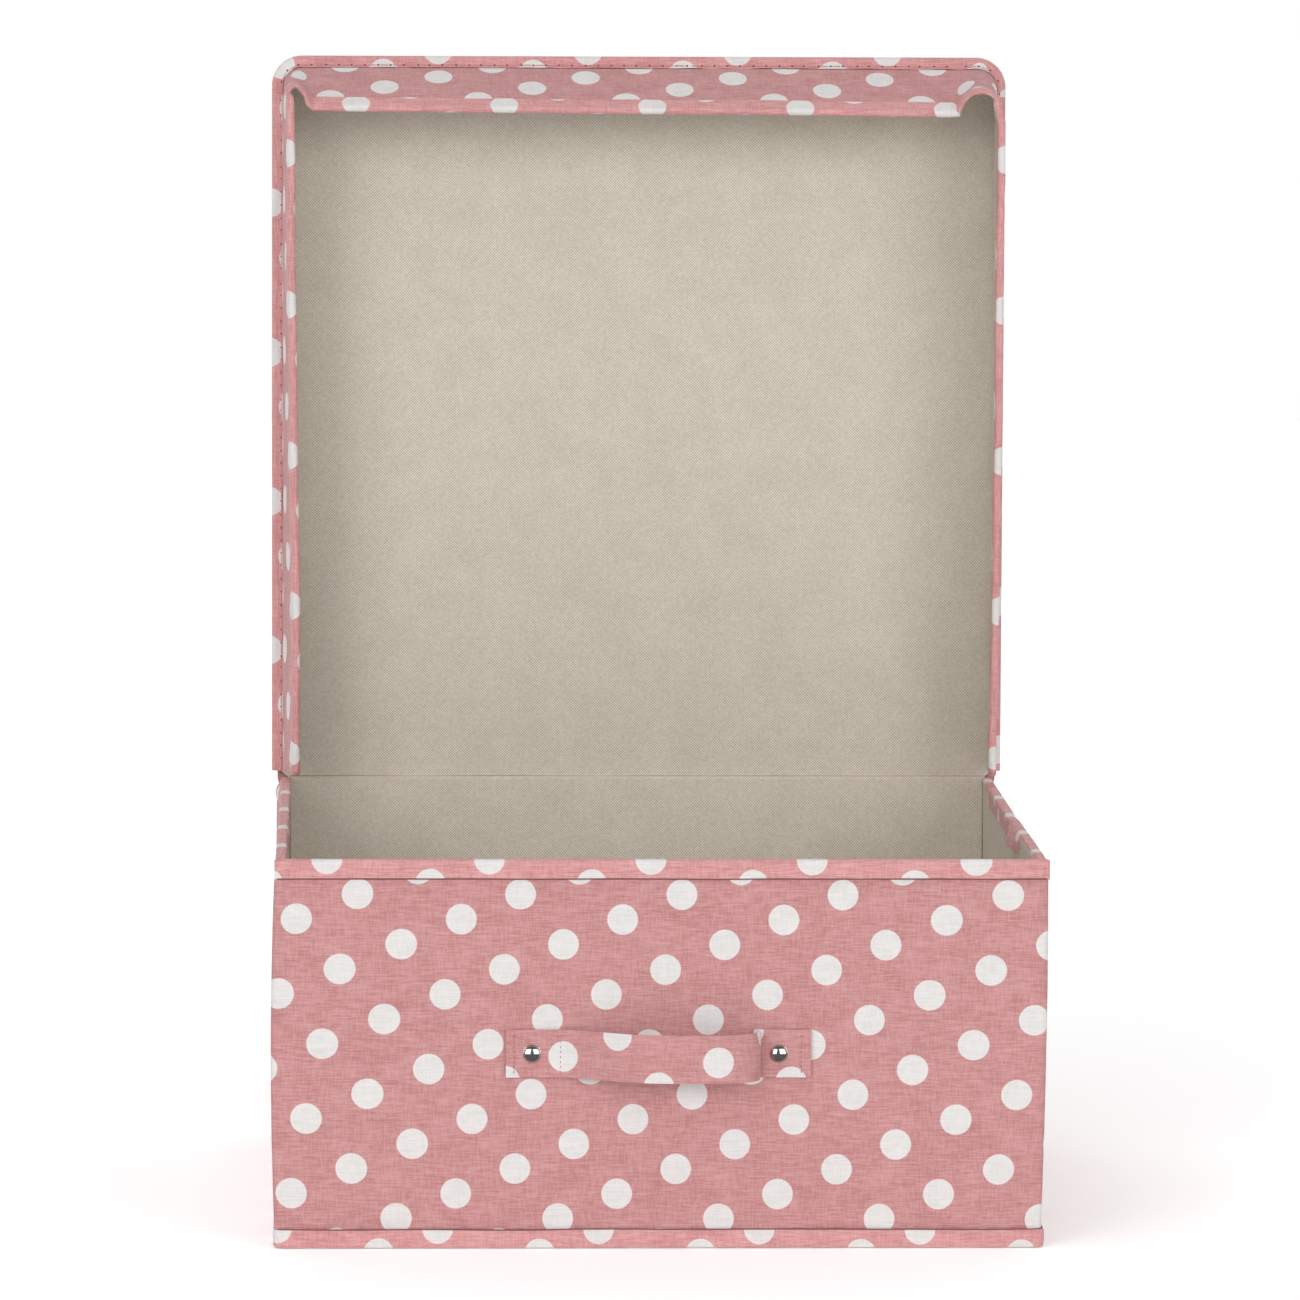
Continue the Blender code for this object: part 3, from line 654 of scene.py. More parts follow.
def rounded_path(pts, radius):
    """A polyline with its corners rounded off."""
    out = [pts[0]]
    for p, c, q in zip(pts, pts[1:], pts[2:]):
        vp, vc, vq = Vector(p), Vector(c), Vector(q)
        r = min(radius, (vp - vc).length * 0.45, (vq - vc).length * 0.45)
        a, b = vc + (vp - vc).normalized() * r, vc + (vq - vc).normalized() * r
        for t in steps(0.0, 1.0, 6):
            m = a.lerp(vc, t).lerp(vc.lerp(b, t), t)
            out.append((m.x, m.y))
    out.append(pts[-1])
    return out


def lid_clip(x, z):
    """Keep a point of the lid's sheets inside its rounded corners."""
    r = LID_R - 1.2 * MM
    cx, cz = LX - 1.2 * MM - r, LID_TOP - 1.2 * MM - r
    if abs(x) > cx and z > cz:
        dx, dz = abs(x) - cx, z - cz
        far = hypot(dx, dz)
        k = max(dx, dz) / far if far > 1e-9 else 1.0
        return (cx + dx * k) * (1 if x > 0 else -1), cz + dz * k
    return x, z


def back_cover():
    """One cloth covers the back wall, turned round its vertical edges, and runs over the hinge up the lid."""
    face = YB - SKIN - COVER / 2
    lid_face = (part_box("lid_cover")[0].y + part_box("lid_cover")[1].y) / 2 + 0.1 * MM
    rc = TURN_R
    flat = XO - SKIN - COVER / 2 - rc                # half the width before the cloth turns
    edge = rc * pi / 2 + WALL_T - SKIN - rc - 0.3 * MM
    top = LID_TOP - 1.2 * MM
    over = [(face, WALL_Z0), (face, H - 3.2 * MM), (lid_face, H + 2.2 * MM), (lid_face, top)]
    path = [(face, z) for z in steps(WALL_Z0, H - 7 * MM, 30)]
    path += [q for q in rounded_path(over, 3 * MM) if H - 6.8 * MM < q[1] < H + 5.8 * MM]
    path += [(lid_face, z) for z in steps(H + 6 * MM, top, 70)]
    run = run_of(path)
    us = [-flat - e for e in steps(edge, 0, 9)[:-1]] + steps(-flat, flat, 84)
    us += [flat + e for e in steps(0, edge, 9)[1:]]

    def at(u, station):
        (y, z), d = station
        past = max(0.0, abs(u) - flat)
        sign = 1 if u > 0 else -1
        wrap = ease(H - 1 * MM, H - 6 * MM, z)
        a = min(past / rc, pi / 2)
        round_y = rc * (1 - cos(a)) + max(0.0, past - rc * pi / 2)
        x = u if past == 0 else sign * lerp(abs(u), flat + rc * sin(a), wrap)
        wave = 0.35 * MM * ripple(u, d, 0.08, 50.0) + 0.20 * MM * ripple(u, d, 0.03, 51.0)
        wave *= ease(XO, XO - 0.03, abs(u)) * ease(0.0, 0.03, min(d, run[-1] - d))
        x += sign * back_corner_push(sign, z) * ease(0.72, 1.0, abs(u) / XO) * wrap
        if z > H + 5 * MM:
            x, z = lid_clip(x, z)
        return Vector((x, y - (round_y * wrap if past else 0.0) + wave, z)), (u + 55 * MM, d)
    sheet("back_and_lid_cover_cloth", us, list(zip(path, run)), at, COVER, CLOTH,
          ("base", "lid", (0, YB - 4 * MM, H - 6 * MM), (0, YB + 4 * MM, H + 6 * MM)),
          ["back_cover", "hinge_strip", "lid_cover"])


def back_lining():
    """One lining covers the back wall inside, turns over its top and runs on up the lid."""
    face = YB - LINING_IN + LINING / 2
    lo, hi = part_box("lid_lining")
    lid_face = (lo.y + hi.y) / 2 - 0.25 * MM
    over = [(face, H - 9 * MM), (face, H - 0.1 * MM), (lid_face, H - 0.1 * MM), (lid_face, H + 9 * MM)]
    path = [(face, z) for z in steps(WALL_Z0, H - 9.5 * MM, 30)] + rounded_path(over, 1.4 * MM)
    path += [(lid_face, z) for z in steps(H + 9.5 * MM, hi.z - 0.3 * MM, 84)]
    half_wall, half_lid = XO - WALL_T + 1.6 * MM, hi.x - 0.3 * MM

    def at(u, station):
        (y, z), d = station
        x = u * lerp(half_wall, half_lid, ease(H - 1 * MM, H + 5 * MM, z))
        inset = ease(0.0, 0.035, min(LX - abs(x), LID_TOP - z)) * ease(0.0, 0.02, abs(z - H))
        wave = 0.42 * MM * ripple(x, z, 0.16, 120.0) + 0.22 * MM * ripple(x, z, 0.05, 121.0)
        if z > H + 9 * MM:
            x, z = lid_clip(x, z)
        return Vector((x, y - wave * inset, z)), (x, d)
    sheet("back_and_lid_lining_cloth", steps(-1.0, 1.0, 96), list(zip(path, run_of(path))), at, LINING, LINED,
          ("base", "lid", (0, YB - 0.8 * MM, H - 1.2 * MM), (0, YB + 0.8 * MM, H + 3 * MM)),
          ["back_lining", "hinge_lining", "lid_lining"])


def inside_seams_and_shade():
    """Brown seam cords, also painted shade for the dark crease lines there: one along the hinge and one down each
    back corner.
    """
    x = XO - WALL_T + 0.4 * MM
    y = YB - LINING_IN - 0.3 * MM
    line = [Vector((u, YB - 0.9 * MM, H + 0.15 * MM * ripple(u, 0, 0.05, 160.0))) for u in steps(-x, x, 80)]
    cord("hinge_seam", line, 0.42 * MM, SEAM_AND_SHADE, "base")
    for s, side in ((-1, "left"), (1, "right")):
        line = [Vector((s * (XO - LINING_IN + 0.1 * MM + 0.2 * MM * ripple(z, s, 0.05, 161.0)), y, z))
                for z in steps(WALL_Z0 + 1 * MM, H - 2 * MM, 40)]
        cord("back_%s_corner_seam" % side, line, 0.5 * MM, SEAM_AND_SHADE, "base")


def floor_sheet(name, node, n, wave, cloth):
    """A flat cloth in its node's box, n stations each way."""
    lo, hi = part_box(node)

    def at(x, y):
        return Vector((x, y, (lo.z + hi.z) / 2 + wave * ripple(x, y, 0.08, 70.0))), (x, y)
    sheet(name, steps(lo.x, hi.x, n), steps(lo.y, hi.y, n), at, hi.z - lo.z, cloth, "base", [node])


# the hem's section from its foot up: height in mm, and how far out, from 1 outside to -1 inside
HEM = ((0.35, 0.1), (0.5, 0.5), (1.2, 0.8), (3.0, 0.95), (5.0, 1.0), (7.0, 0.95), (8.4, 0.75), (9.0, 0.3),
       (9.2, -0.1), (9.0, -0.45), (8.0, -0.6), (5.0, -0.6))


def bottom():
    """Bottom cloth, the insert's lining, and the bound hem that runs round the foot of the walls."""
    floor_sheet("bottom_cover_cloth", "bottom_cover", 40, 0.0, CLOTH)
    floor_sheet("insert_lining_cloth", "base_insert_lining", 60, 0.25 * MM, LINED)

    bulge = 0.7 * MM                                 # how far the hem's section stands out and in
    hx, y0, y1 = HEM_HI.x - bulge, HEM_LO.y + bulge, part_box("bottom_hem_back")[1].y - bulge
    r = 5 * MM
    loop = []
    for cx, cy, a0 in ((hx - r, y0 + r, -pi / 2), (hx - r, y1 - r, 0.0), (-hx + r, y1 - r, pi / 2),
                       (-hx + r, y0 + r, pi)):
        loop += [(cx + r * cos(a), cy + r * sin(a), cos(a), sin(a)) for a in steps(a0, a0 + pi / 2, 8)]
    ring = []
    for p, q in zip(loop, loop[1:] + loop[:1]):
        n = max(1, int(hypot(q[0] - p[0], q[1] - p[1]) / (4 * MM)))
        ring += [tuple(lerp(a, b, t / n) for a, b in zip(p, q)) for t in range(n)]
    ring += ring[:1]
    run = run_of([p[:2] for p in ring])
    hem_u = run[-1] - (hx - r) - 145.5 * MM          # a spot lies here on the front
    section = [(z * MM, out * bulge) for z, out in HEM]

    def at(station, height):
        (x, y, nx, ny), along = station
        (z, out), up = height
        push = out + 0.25 * MM * ripple(x, y, 0.035, 81.0) * ease(0.0, 4 * MM, z)
        lift = 0.30 * MM * ripple(x, y, 0.05, 83.0) * ease(2 * MM, 9 * MM, z)
        return Vector((x + nx * push, y + ny * push, z + lift)), (along - hem_u, up + 2.8 * MM)
    # a dark cord along the hem's top: its seam line, and painted shade for the groove there
    seam = [Vector((x + nx * 0.05 * MM, y + ny * 0.05 * MM,
                    9.55 * MM + 0.30 * MM * ripple(x, y, 0.05, 83.0))) for x, y, nx, ny in ring]
    cord("bottom_hem_seam", seam, 0.34 * MM, EDGE_SHADE_CORD, "base", axis=(0, 0, 1))
    sheet("bottom_hem_tape", list(zip(ring, run)), list(zip(section, run_of(section))), at, TAPE, TAPED,
          "base", ["bottom_hem_" + part for part in ("front", "back", "left", "right")], ring=True)


# ------------------------ lid
RIM_SIDE = LID_TOP - LID_R - V0                        # the outline's straight sides and its corners' arcs
RIM_ARC = LID_R * pi / 2
T_END = 2 * RIM_SIDE + 2 * RIM_ARC + 2 * (LX - LID_R)


def rim_line(t):
    """Point t metres along the lid's free outline from its lower left end: (x, z), and the way inwards."""
    if t > T_END / 2:
        p, inward = rim_line(T_END - t)
        return Vector((-p.x, p.y)), Vector((-inward.x, inward.y))
    if t < RIM_SIDE:
        return Vector((-LX, V0 + t)), Vector((1.0, 0.0))
    t -= RIM_SIDE
    if t < RIM_ARC:
        a = pi - t / LID_R
        return (Vector((-LX + LID_R + LID_R * cos(a), LID_TOP - LID_R + LID_R * sin(a))),
                Vector((-cos(a), -sin(a))))
    return Vector((-LX + LID_R + t - RIM_ARC, LID_TOP)), Vector((0.0, -1.0))


T_LEFT = V1 - V0                                       # end of the left rim
T_RIGHT = T_END - T_LEFT                               # start of the right rim
U_END = {-1: U1 - 1.2 * MM, 1: U1 - 8.0 * MM}          # the front rim's cloth is stiff up to here
T_FRONT0 = RIM_SIDE + RIM_ARC + (LX - LID_R - U_END[-1])
T_FRONT1 = T_FRONT0 + U_END[-1] + U_END[1]
MID = RIM_T / 2
SIDE_TWIST = {-1: radians(3.9), 1: radians(2.6)}       # lean at the hinge end, less the lean at the far end
TURN_IN = {-1: 0.0, 1: 2.6 * MM}                       # how far a side rim's far end turns in
FLANGE = {-1: 6.0 * MM, 0: 5.6 * MM, 1: 4.6 * MM}      # seam allowance standing in the lid's plane


def side_edge(s, z):
    """Middle of a side rim's free edge. It leans in most towards the hinge, where its end is cut back, and
    the right one turns in to its corner."""
    f = (z - V0) / (V1 - V0)
    a = SIDE_LEAN[s] + SIDE_TWIST[s] * (0.5 - f) + radians(0.7) * ripple(z, 0.0, 0.09, 90.0 + s)
    x = (LX - RIM_T) + MID * cos(a) - RIM_DEPTH * sin(a) - TURN_IN[s] * ease(V1 - 14 * MM, V1, z)
    up = 3.2 * MM * ease(V0 + 22 * MM, V0, z)
    return Vector((s * x, RIM_HINGE_Y - RIM_DEPTH * cos(a) - MID * sin(a), z + up))


def front_edge(x):
    a = LEAN_FRONT + radians(1.3) * (x / U1) + radians(0.7) * ripple(x, 0.0, 0.12, 95.0)
    z = (LID_TOP - RIM_T) + MID * cos(a) - RIM_DEPTH * sin(a)
    return Vector((x, RIM_HINGE_Y - RIM_DEPTH * cos(a) - MID * sin(a), z))


def corner_edge(s, a):
    """Free edge of a soft corner, from the front rim (a = 0) up over an arch to the side rim (a = 1)."""
    path = CORNER_PATHS[s]
    k = min(int(a * (len(path) - 1)), len(path) - 2)
    return path[k].lerp(path[k + 1], a * (len(path) - 1) - k)


# the soft corners' free edges, as steps sideways and up in mm from the front rim's end
ARCH = {-1: ((2.3, 2.0), (4.6, 7.9), (8.6, 12.1), (11.3, 11.8), (13.3, 9.0)),
        1: ((2.3, 6.2), (7.3, 11.4), (12.7, 12.6), (17.6, 11.2))}


def free_edge(t):
    if t <= T_LEFT:
        return side_edge(-1, V0 + t)
    if t < T_FRONT0:
        return corner_edge(-1, 1 - (t - T_LEFT) / (T_FRONT0 - T_LEFT))
    if t <= T_FRONT1:
        return front_edge(-U_END[-1] + (t - T_FRONT0))
    if t < T_RIGHT:
        return corner_edge(1, (t - T_FRONT1) / (T_RIGHT - T_FRONT1))
    return side_edge(1, V1 - (t - T_RIGHT))


def flange(t):
    f = lerp(FLANGE[-1], FLANGE[0], ease(T_LEFT, T_FRONT0, t))
    return lerp(f, FLANGE[1], ease(T_FRONT1, T_RIGHT, t))


def corner_path(s):
    """Evenly spaced points of a soft corner's free edge."""
    start = front_edge(s * U_END[s])
    end = side_edge(s, V1)
    pts = [start]
    for k, (dx, dz) in enumerate(ARCH[s]):
        y = lerp(start.y, end.y, ease(-1, len(ARCH[s]), k)) - 0.5 * MM
        pts.append(Vector((start.x + s * dx * MM, y, start.z + dz * MM)))
    pts.append(end)
    fine = catmull(pts, 12)
    run = run_of(fine)
    even = []
    for d in steps(0.0, run[-1], 72):
        k, t = place_on(run, d)
        even.append(fine[k].lerp(fine[k + 1], t))
    return even


END_ROUND = 5 * MM                                     # rounding of the side rims' lower corners


def rim_point(t, d):
    """Middle surface of the rim, d metres from its root towards the free edge."""
    end = min(t, T_END - t)
    if end < END_ROUND:
        d *= 1.0 - (END_ROUND - (END_ROUND ** 2 - (END_ROUND - max(end, 0.0)) ** 2) ** 0.5) / RIM_DEPTH
    p, inward = rim_line(t)
    fl = flange(t)
    root = Vector((p.x + inward.x * 1.1 * MM, YL - 0.5 * MM, p.y + inward.y * 1.1 * MM))
    base = Vector((p.x + inward.x * (fl + 0.9 * MM), YL - 2.0 * MM, p.y + inward.y * (fl + 0.9 * MM)))
    edge = free_edge(t)
    near = fl + 0.5 * MM
    if d < near:
        k = d / near
        return root.lerp(base, k)
    k = (d - near) / (RIM_DEPTH - near)
    q = base.lerp(edge, k)
    soft = ease(0.0, 0.12, k) * ease(1.0, 0.6, k)
    out = Vector((-inward.x, 0.0, -inward.y))
    full = lerp(0.25 * MM, 1.1 * MM, ease(T_LEFT, T_FRONT0, t) * ease(T_RIGHT, T_FRONT1, t))
    return q + out * (full * soft + 0.4 * MM * ripple(t, d, 0.03, 99.0) * sin(pi * min(1.0, k)))


def rim_thick(t, d):
    """A rim is thin at its root and stiff beyond; its soft corners are thin all over."""
    stiff = 1.0
    for a, b in ((T_LEFT, T_FRONT0), (T_FRONT1, T_RIGHT)):
        stiff -= ease(a - 2 * MM, a + 3 * MM, t) * ease(b + 2 * MM, b - 3 * MM, t)
    return lerp(1.3 * MM, 2.9 * MM, ease(6 * MM, 12 * MM, d) * stiff)


def rim_normal(t, d):
    e = 0.4 * MM
    along = rim_point(t + e, d) - rim_point(t - e, d)
    down = rim_point(t, min(d + e, RIM_DEPTH)) - rim_point(t, max(d - e, 0.0))
    return along.cross(down).normalized()


def rim_stations(t0, t1):
    """Places along a rim, closer at its corners and at the side rims' lower ends."""
    gap = 1.2 * MM if t1 - t0 < 0.06 else 3.2 * MM
    ts = steps(t0, t1, int((t1 - t0) / gap))
    near = [0.3 * MM, 0.7 * MM, 1.3 * MM, 2.2 * MM]
    if t0 == 0.0:
        ts = ts[:1] + near + ts[1:]
    if t1 == T_END:
        ts = ts[:-1] + [T_END - e for e in reversed(near)] + ts[-1:]
    return ts


RIMS = (("rim_left", 0.0, T_LEFT), ("corner_left", T_LEFT, T_FRONT0), ("rim_front", T_FRONT0, T_FRONT1),
        ("corner_right", T_FRONT1, T_RIGHT), ("rim_right", T_RIGHT, T_END))


def rim_blend(body, t0, t1):
    """From the lid, at the rim's root, to the rim, a few millimetres out."""
    root = rim_point((t0 + t1) / 2, 0.0)
    out = Vector((0, -1, 0))
    return ("lid", body, root + out * 0.5 * MM, root + out * 5 * MM)


PRINT_RIM = (T_FRONT0 + U_END[-1] - 170.5 * MM, 48.1 * MM)     # a spot's place on the rims' cover
PRINT_STEP = 5 * MM                                    # the print's step past the left corner
PRINT_PULL = 0.0215                                    # the front rim's cloth was pulled in by this much


def print_shift(t):
    """How the print on the front rim runs away from that on the left rim."""
    pull = PRINT_PULL * (min(t, T_RIGHT) - (T_FRONT0 + T_FRONT1) / 2)
    return (PRINT_STEP + pull) * ease(T_LEFT, T_FRONT0, t)


def rim_pieces(name, t0, t1):
    """A rim's or soft corner's cover, lining and edge tape."""
    ts = rim_stations(t0, t1)
    ds = steps(0.0, 6 * MM, 6) + steps(6 * MM, 12 * MM, 4)[1:] + steps(12 * MM, RIM_DEPTH - 0.6 * MM, 16)[1:]
    soft = name.startswith("corner")
    link = rim_blend(name, t0, t1)
    lining = 0.5 * MM

    def layer(kind, span, cloth, replaces):
        def at(t, d):
            lo, hi = span(rim_thick(t, d))
            return (rim_point(t, d) + rim_normal(t, d) * OUT * (lo + hi) / 2,
                    (t - PRINT_RIM[0] + print_shift(t), PRINT_RIM[1] - d))

        def thick(i, j):
            lo, hi = span(rim_thick(ts[i], ds[j]))
            return hi - lo
        sheet(name + "_" + kind + "_cloth", ts, ds, at, thick, cloth, link, replaces)
    layer("cover", lambda f: (-f / 2 + lining + 0.02 * MM, f / 2), CLOTH,
          [name + "_gusset"] if soft else [name + "_cover", name + "_board"])
    layer("lining", lambda f: (-f / 2, -f / 2 + lining), LINED, [] if soft else [name + "_lining"])

    tip_in, leg = 1.2 * MM, 9 * MM                   # the tape's fold and its legs' ends, from the free edge
    print_at = 97.5 * MM if t1 <= T_LEFT else PRINT_RIM[0] + 14.5 * MM
    rows, uvs = [], []
    for t in ts:
        half = rim_thick(t, RIM_DEPTH) / 2 + 0.38 * MM
        nrm = rim_normal(t, RIM_DEPTH - 1 * MM) * OUT
        ahead = (rim_point(t, RIM_DEPTH) - rim_point(t, RIM_DEPTH - 2 * MM)).normalized()
        pucker = 0.18 * MM * ripple(t, 0.0, 0.012, 101.0)

        def on_leg(back, side):
            loose = 0.35 * MM * ease(5 * MM, 9 * MM, back) * (0.8 + 0.6 * ripple(t, side, 0.03, 103.0))
            out = rim_normal(t, RIM_DEPTH - back) * OUT * side
            return rim_point(t, RIM_DEPTH - back) + out * (half + loose + pucker)
        tip = rim_point(t, RIM_DEPTH - tip_in)
        line = [on_leg(back, 1) for back in steps(leg, tip_in, 5)]
        line += [tip + nrm * (half + pucker) * cos(a) + ahead * 1.5 * MM * sin(a)
                 for a in steps(0.0, pi, 8)[1:-1]]
        line += [on_leg(back, -1) for back in steps(tip_in, leg, 5)]
        rows.append(line)
        uvs.append([(t - print_at + print_shift(t), 6.3 * MM - run) for run in run_of(line)])
    shell(name + "_edge_tape", rows, 0.45 * MM, uvs, TAPED, link,
          [] if soft else [name + "_binding"])


CORNER_PATHS = {s: corner_path(s) for s in (-1, 1)}
OUT = 1.0 if rim_normal(T_LEFT / 2, RIM_DEPTH / 2).x < 0 else -1.0


ARC_MID = RIM_SIDE + RIM_ARC / 2
ON_TOP = T_FRONT0 + U_END[-1] - 142.7 * MM
# the lid's tape along each rim: its name, its reach over the rim, and a spot's place along and across it
LID_TAPES = (("left", 8.6 * MM, 67.8 * MM, -2.0 * MM), ("left_corner", 9.2 * MM, ARC_MID, 2.0 * MM),
             ("front", 10.5 * MM, ON_TOP, 9.1 * MM), ("right_corner", 9.0 * MM, ON_TOP, 9.1 * MM),
             ("right", 8.0 * MM, T_END - 12 * MM, 1.0 * MM))
# its section behind the lid: way in from the outline, and how far in front of the lid's back
TAPE_BACK = ((8.5 * MM, 0.25 * MM), (5 * MM, 0.25 * MM), (2 * MM, 0.25 * MM), (0.7 * MM, 0.45 * MM),
             (0.15 * MM, 1.2 * MM), (0.0, 2.6 * MM))


def lid_tape():
    """Tape bound over the lid's seam, from its back, round the edge and onto the rims, with its stitching."""
    section = [(depth, LID_BACK - y) for depth, y in TAPE_BACK]
    section += [(0.05 * MM, YL + 0.8 * MM), (0.4 * MM, YL - 0.3 * MM)]
    for (body, t0, t1), (name, reach, spot_t, spot_in) in zip(RIMS, LID_TAPES):
        rows, uvs, seam, seam_n = [], [], [], []
        for t in rim_stations(t0, t1):
            p, inward = rim_line(t)
            pucker = 0.35 * MM * ripple(t, 0.0, 0.010, 111.0) + 0.30 * MM * ripple(t, 0.0, 0.035, 112.0)
            line = [Vector((p.x + inward.x * depth, y, p.y + inward.y * depth)) for depth, y in section]
            for d in steps(0.8 * MM, reach, 8):
                off = rim_thick(t, d) / 2 + 0.35 * MM
                loose = ease(reach - 3.5 * MM, reach, d)
                dent = 0.30 * MM * exp(-((d - reach + 1.9 * MM) / (0.7 * MM)) ** 2)
                off += loose * (0.25 * MM + 0.7 * pucker) - dent
                line.append(rim_point(t, d) + rim_normal(t, d) * OUT * off)
            rows.append(line)
            uvs.append([(t - spot_t, spot_in - run) for run in run_of(line, -13.5 * MM)])
            sewn = flange(t) - 1.2 * MM
            seam_n.append(rim_normal(t, sewn) * OUT)
            seam.append(rim_point(t, sewn) + seam_n[-1] * (rim_thick(t, sewn) / 2 + 0.60 * MM))
        link = rim_blend(body, t0, t1)
        shell("lid_" + name + "_tape", rows, TAPE, uvs, TAPED, link,
              ["lid_edge_binding"] if name == "front" else [])
        stitch_row("lid_" + name + "_stitching", seam, seam_n, 7.2 * MM, 5.9 * MM, 0.30 * MM,
                   TAPE_THREAD, link, 0.55 * MM)


# ------------------------ handle
def handle():
    """Strap in two halves that meet at the middle of the bow, each following the wall at its tab."""
    tab_lo, tab_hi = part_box("handle_tab_left")
    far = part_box("handle_tab_right")[1].x
    wall = YF + SKIN
    zc = (tab_lo.z + tab_hi.z) / 2
    half_w = (tab_hi.z - tab_lo.z) / 2
    end = -tab_lo.x
    inner = -tab_hi.x
    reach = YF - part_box("handle_loop")[0].y - 1.2 * MM
    flat = 1.55 * MM
    left = [(-end, flat), (-end + 9 * MM, flat), (-inner - 9 * MM, flat), (-inner - 1 * MM, flat + 0.3 * MM),
            (-inner + 7 * MM, flat + 2.6 * MM), (-inner + 17 * MM, 0.42 * reach),
            (-inner + 32 * MM, 0.78 * reach), (0.0, 0.97 * reach)]
    right = [(0.0, 0.97 * reach), (0.42 * inner, reach), (0.70 * inner, 0.93 * reach),
             (0.91 * inner, 0.74 * reach), (1.01 * inner, 0.48 * reach), (1.01 * inner, 0.28 * reach),
             (0.975 * inner, 0.165 * reach),
             (inner, flat), (inner + 4 * MM, flat), (far - 9 * MM, flat), (far, flat)]
    across = steps(-1.0, 1.0, 14)
    thick = 1.7 * MM
    whole = catmull([Vector((x, -y)) for x, y in left + right[1:]], 9)
    middle = (len(left) - 1) * 9
    stations = list(zip(whole, run_of(whole)))

    def at(station, q):
        p, along = station
        fall = 0.4 * MM * ease(0.3, 1.0, -p.y / reach)
        wave = 0.22 * MM * ripple(along, q, 0.02, 140.0)
        z = zc + q * (half_w + 0.15 * MM * ripple(along, 0.0, 0.03, 141.0)) - fall
        return Vector((p.x, wall + p.y - wave * abs(q), z)), (along - 29.9 * MM, q * half_w + 1.3 * MM)

    def fullness(i, j):
        q = abs(across[j])
        edge = 1.0 - 0.55 * max(0.0, q - 0.86) / 0.14
        return thick * edge * (1.0 - 0.22 * exp(-((q - 0.80) / 0.06) ** 2))
    for side, s, part in (("left", -1, stations[:middle + 1]), ("right", 1, stations[middle:])):
        sheet("strap_" + side, part, across, at, fullness, STRAP,
              ("front_wall", "handle", (s * (inner + 1 * MM), wall, zc), (s * (inner - 14 * MM), wall, zc)),
              ["handle_tab_" + side] + (["handle_loop"] if s < 0 else []))

    face = wall - flat - thick / 2
    for name, x in (("left_outer", -end + 4.2 * MM), ("left_inner", -inner - 1.6 * MM),
                    ("right_outer", far - 5.0 * MM)):
        pts = [Vector((x + 0.2 * MM * ripple(z, x, 0.004, 150.0), face - 0.05 * MM, zc + z))
               for z in steps(-half_w + 1.8 * MM, half_w - 1.8 * MM, 8)]
        stitch_row("strap_stitching_" + name, pts, [Vector((0, -1, 0))] * len(pts), 2.6 * MM, 1.7 * MM,
                   0.26 * MM, STRAP_THREAD, "front_wall")
    return face


def revolved(name, profile, centre, mat, slot, body, replaces):
    """Metal piece turned about an axis along Y; the profile is (radius, y) from the axis back to the axis."""
    n = 64
    bm = bmesh.new()
    rings = []
    for r, y in profile:
        middle = Vector((centre.x, y, centre.z))
        rings.append(circle(bm, middle, Vector((r, 0, 0)), Vector((0, 0, r)), n if r > 0 else 1))
    for a, b in zip(rings, rings[1:]):
        for k in range(n):
            vs = [a[k % len(a)], a[(k + 1) % len(a)], b[(k + 1) % len(b)], b[k % len(b)]]
            vs = [v for i, v in enumerate(vs) if v not in vs[:i]]
            bm.faces.new(vs)
    new_piece(name, bm, mat, slot, body, replaces, sharp=50.0)


def rivets(face):
    """Domed caps with a rolled rim, posts through the wall and turned-over tails inside."""
    for side in ("left", "right"):
        lo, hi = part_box("rivet_" + side)
        centre = (lo + hi) / 2
        r = (hi.x - lo.x) / 2
        base = face + 0.15 * MM
        dome = [(0.0, base - 2.75 * MM)]
        dome += [(r * 0.965 * sin(a), base - 0.55 * MM - 2.2 * MM * cos(a))
                 for a in steps(0, pi / 2, 14)[1:]]
        dome += [(r, base - 0.45 * MM), (r, base - 0.1 * MM), (r * 0.95, base), (1.5 * MM, base)]
        tail = hi.y
        prof = dome + [(1.5 * MM, tail - 0.6 * MM), (2.6 * MM, tail - 0.6 * MM),
                       (2.55 * MM, tail - 0.25 * MM), (1.9 * MM, tail - 0.02 * MM),
                       (0.9 * MM, tail - 0.12 * MM), (0.0, tail - 0.15 * MM)]
        revolved("rivet_%s_metal" % side, prof, centre, CHROME, "rivet_metal", "front_wall",
                 ["rivet_" + side])


# ------------------------ build
front_cover()
front_lining()
front_binding()
for side_name, sign in (("left", -1), ("right", 1)):
    side_wall(side_name, sign)
back_cover()
back_lining()
inside_seams_and_shade()
bottom()
for rim in RIMS:
    rim_pieces(*rim)
lid_tape()
rivets(handle())

for node, ob in frame["nodes"].items():
    if node.endswith("board"):
        finish = BOARD_MAT
    elif "washer" in node or node.startswith("rivet"):
        finish = STEEL
    elif node.endswith("lining"):
        finish = LINED[0]
    else:
        finish = CLOTH[0]
    for slot in ob.material_slots:
        slot.material = finish

# ------------------------ floor, light and camera
bpy.ops.mesh.primitive_plane_add(size=12.0, location=(0, 0, -0.0004))
floor = bpy.context.object
floor.name = "studio_floor"
g = Graph("studio_floor")
g.set(Base_Color=(0.95, 0.95, 0.95, 1.0), Roughness=0.9, Specular_IOR_Level=0.1,
      Emission_Color=(1.0, 1.0, 1.0, 1.0), Emission_Strength=0.24)
floor.data.materials.append(g.mat)
floor.visible_glossy = False

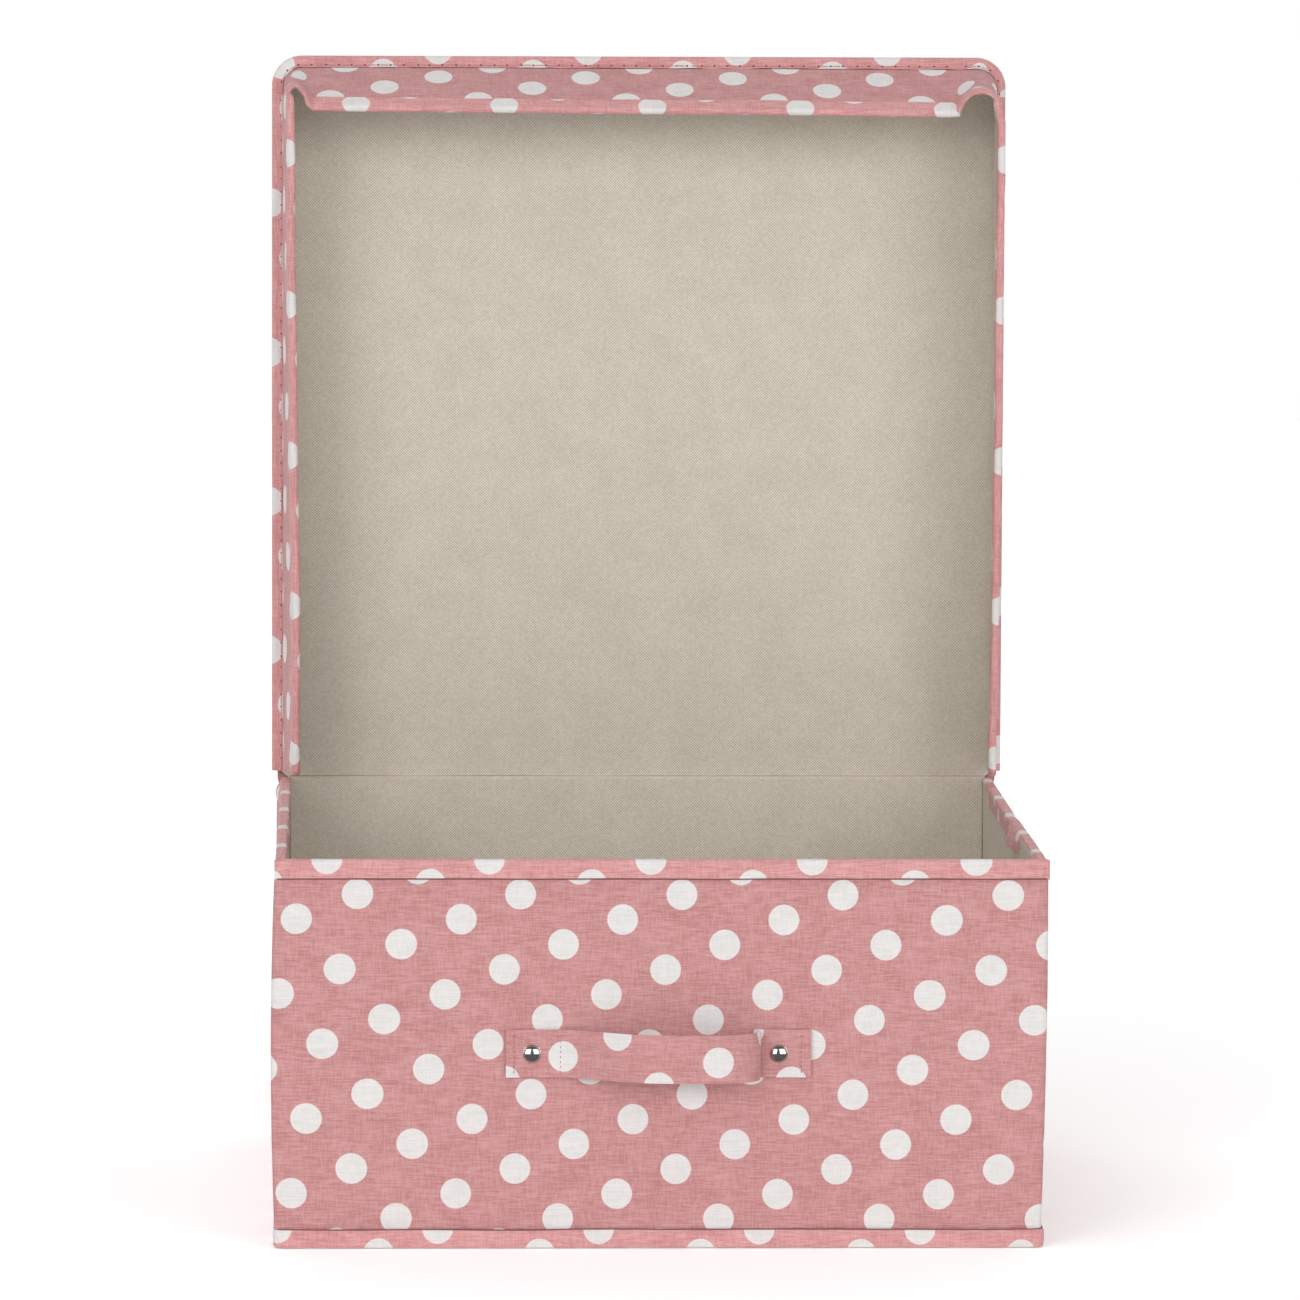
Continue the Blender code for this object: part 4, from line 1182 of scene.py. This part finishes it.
scene = bpy.context.scene
scene.view_settings.view_transform = "Standard"
world = bpy.data.worlds.new("studio")
world.use_nodes = True
sky = world.node_tree
place = sky.nodes.new("ShaderNodeTexCoord")
parts = sky.nodes.new("ShaderNodeSeparateXYZ")
depth = sky.nodes.new("ShaderNodeMapRange")
depth.interpolation_type = "SMOOTHSTEP"
for socket, value in zip(list(depth.inputs)[1:5], (-0.20, 0.80, 0.14, 1.0)):
    socket.default_value = value
sky.links.new(place.outputs["Generated"], parts.inputs[0])
sky.links.new(parts.outputs["Y"], depth.inputs[0])
sky.links.new(depth.outputs[0], sky.nodes["Background"].inputs["Strength"])
sky.nodes["Background"].inputs["Color"].default_value = (1.0, 1.0, 1.0, 1.0)
scene.world = world


def lamp(name, kind, energy, place, towards):
    light = bpy.data.lights.new(name, kind)
    light.energy = energy
    ob = bpy.data.objects.new(name, light)
    bpy.context.collection.objects.link(ob)
    ob.location = place
    ob.rotation_euler = Vector(towards).to_track_quat("-Z", "Y").to_euler()
    return light, ob


def soft_sun(name, towards, strength, width):
    light, ob = lamp(name, "SUN", strength, (0, 0, 0), towards)
    light.angle = radians(width)
    ob.visible_glossy = False


def strip_box(name, place, size, power):
    """A box of light that shows only as a reflection."""
    light, ob = lamp(name, "AREA", power, place, Vector((0, YF, 0.1)) - Vector(place))
    light.shape = "RECTANGLE"
    light.size, light.size_y = size
    ob.visible_diffuse = False
    ob.visible_camera = False


soft_sun("key_left", (0.52, 0.80, -0.30), 0.80, 30)
soft_sun("key_right", (-0.56, 0.78, -0.30), 0.84, 30)
soft_sun("front_fill", (0.02, 0.98, -0.13), 0.74, 60)
soft_sun("overhead", (0.22, 0.36, -0.90), 0.95, 50)
for side, x in (("left", -1.25), ("right", 1.25)):
    strip_box("strip_" + side, (x, -1.75, 0.62), (2.2, 1.5), 24.0)

camera = bpy.data.cameras.new("camera")
camera.sensor_width = 36.0
camera.lens = 244.62
camera.clip_end = 50.0
eye = bpy.data.objects.new("camera", camera)
bpy.context.collection.objects.link(eye)
eye.location = (-0.1586, YF - 4.5283, 0.7435)
yaw, pitch, roll = radians(-1.929), radians(90 - 5.448), radians(0.241)
turn = Matrix.Rotation(yaw, 4, "Z") @ Matrix.Rotation(pitch, 4, "X")
eye.rotation_euler = (turn @ Matrix.Rotation(roll, 4, "Z")).to_euler()
scene.camera = eye
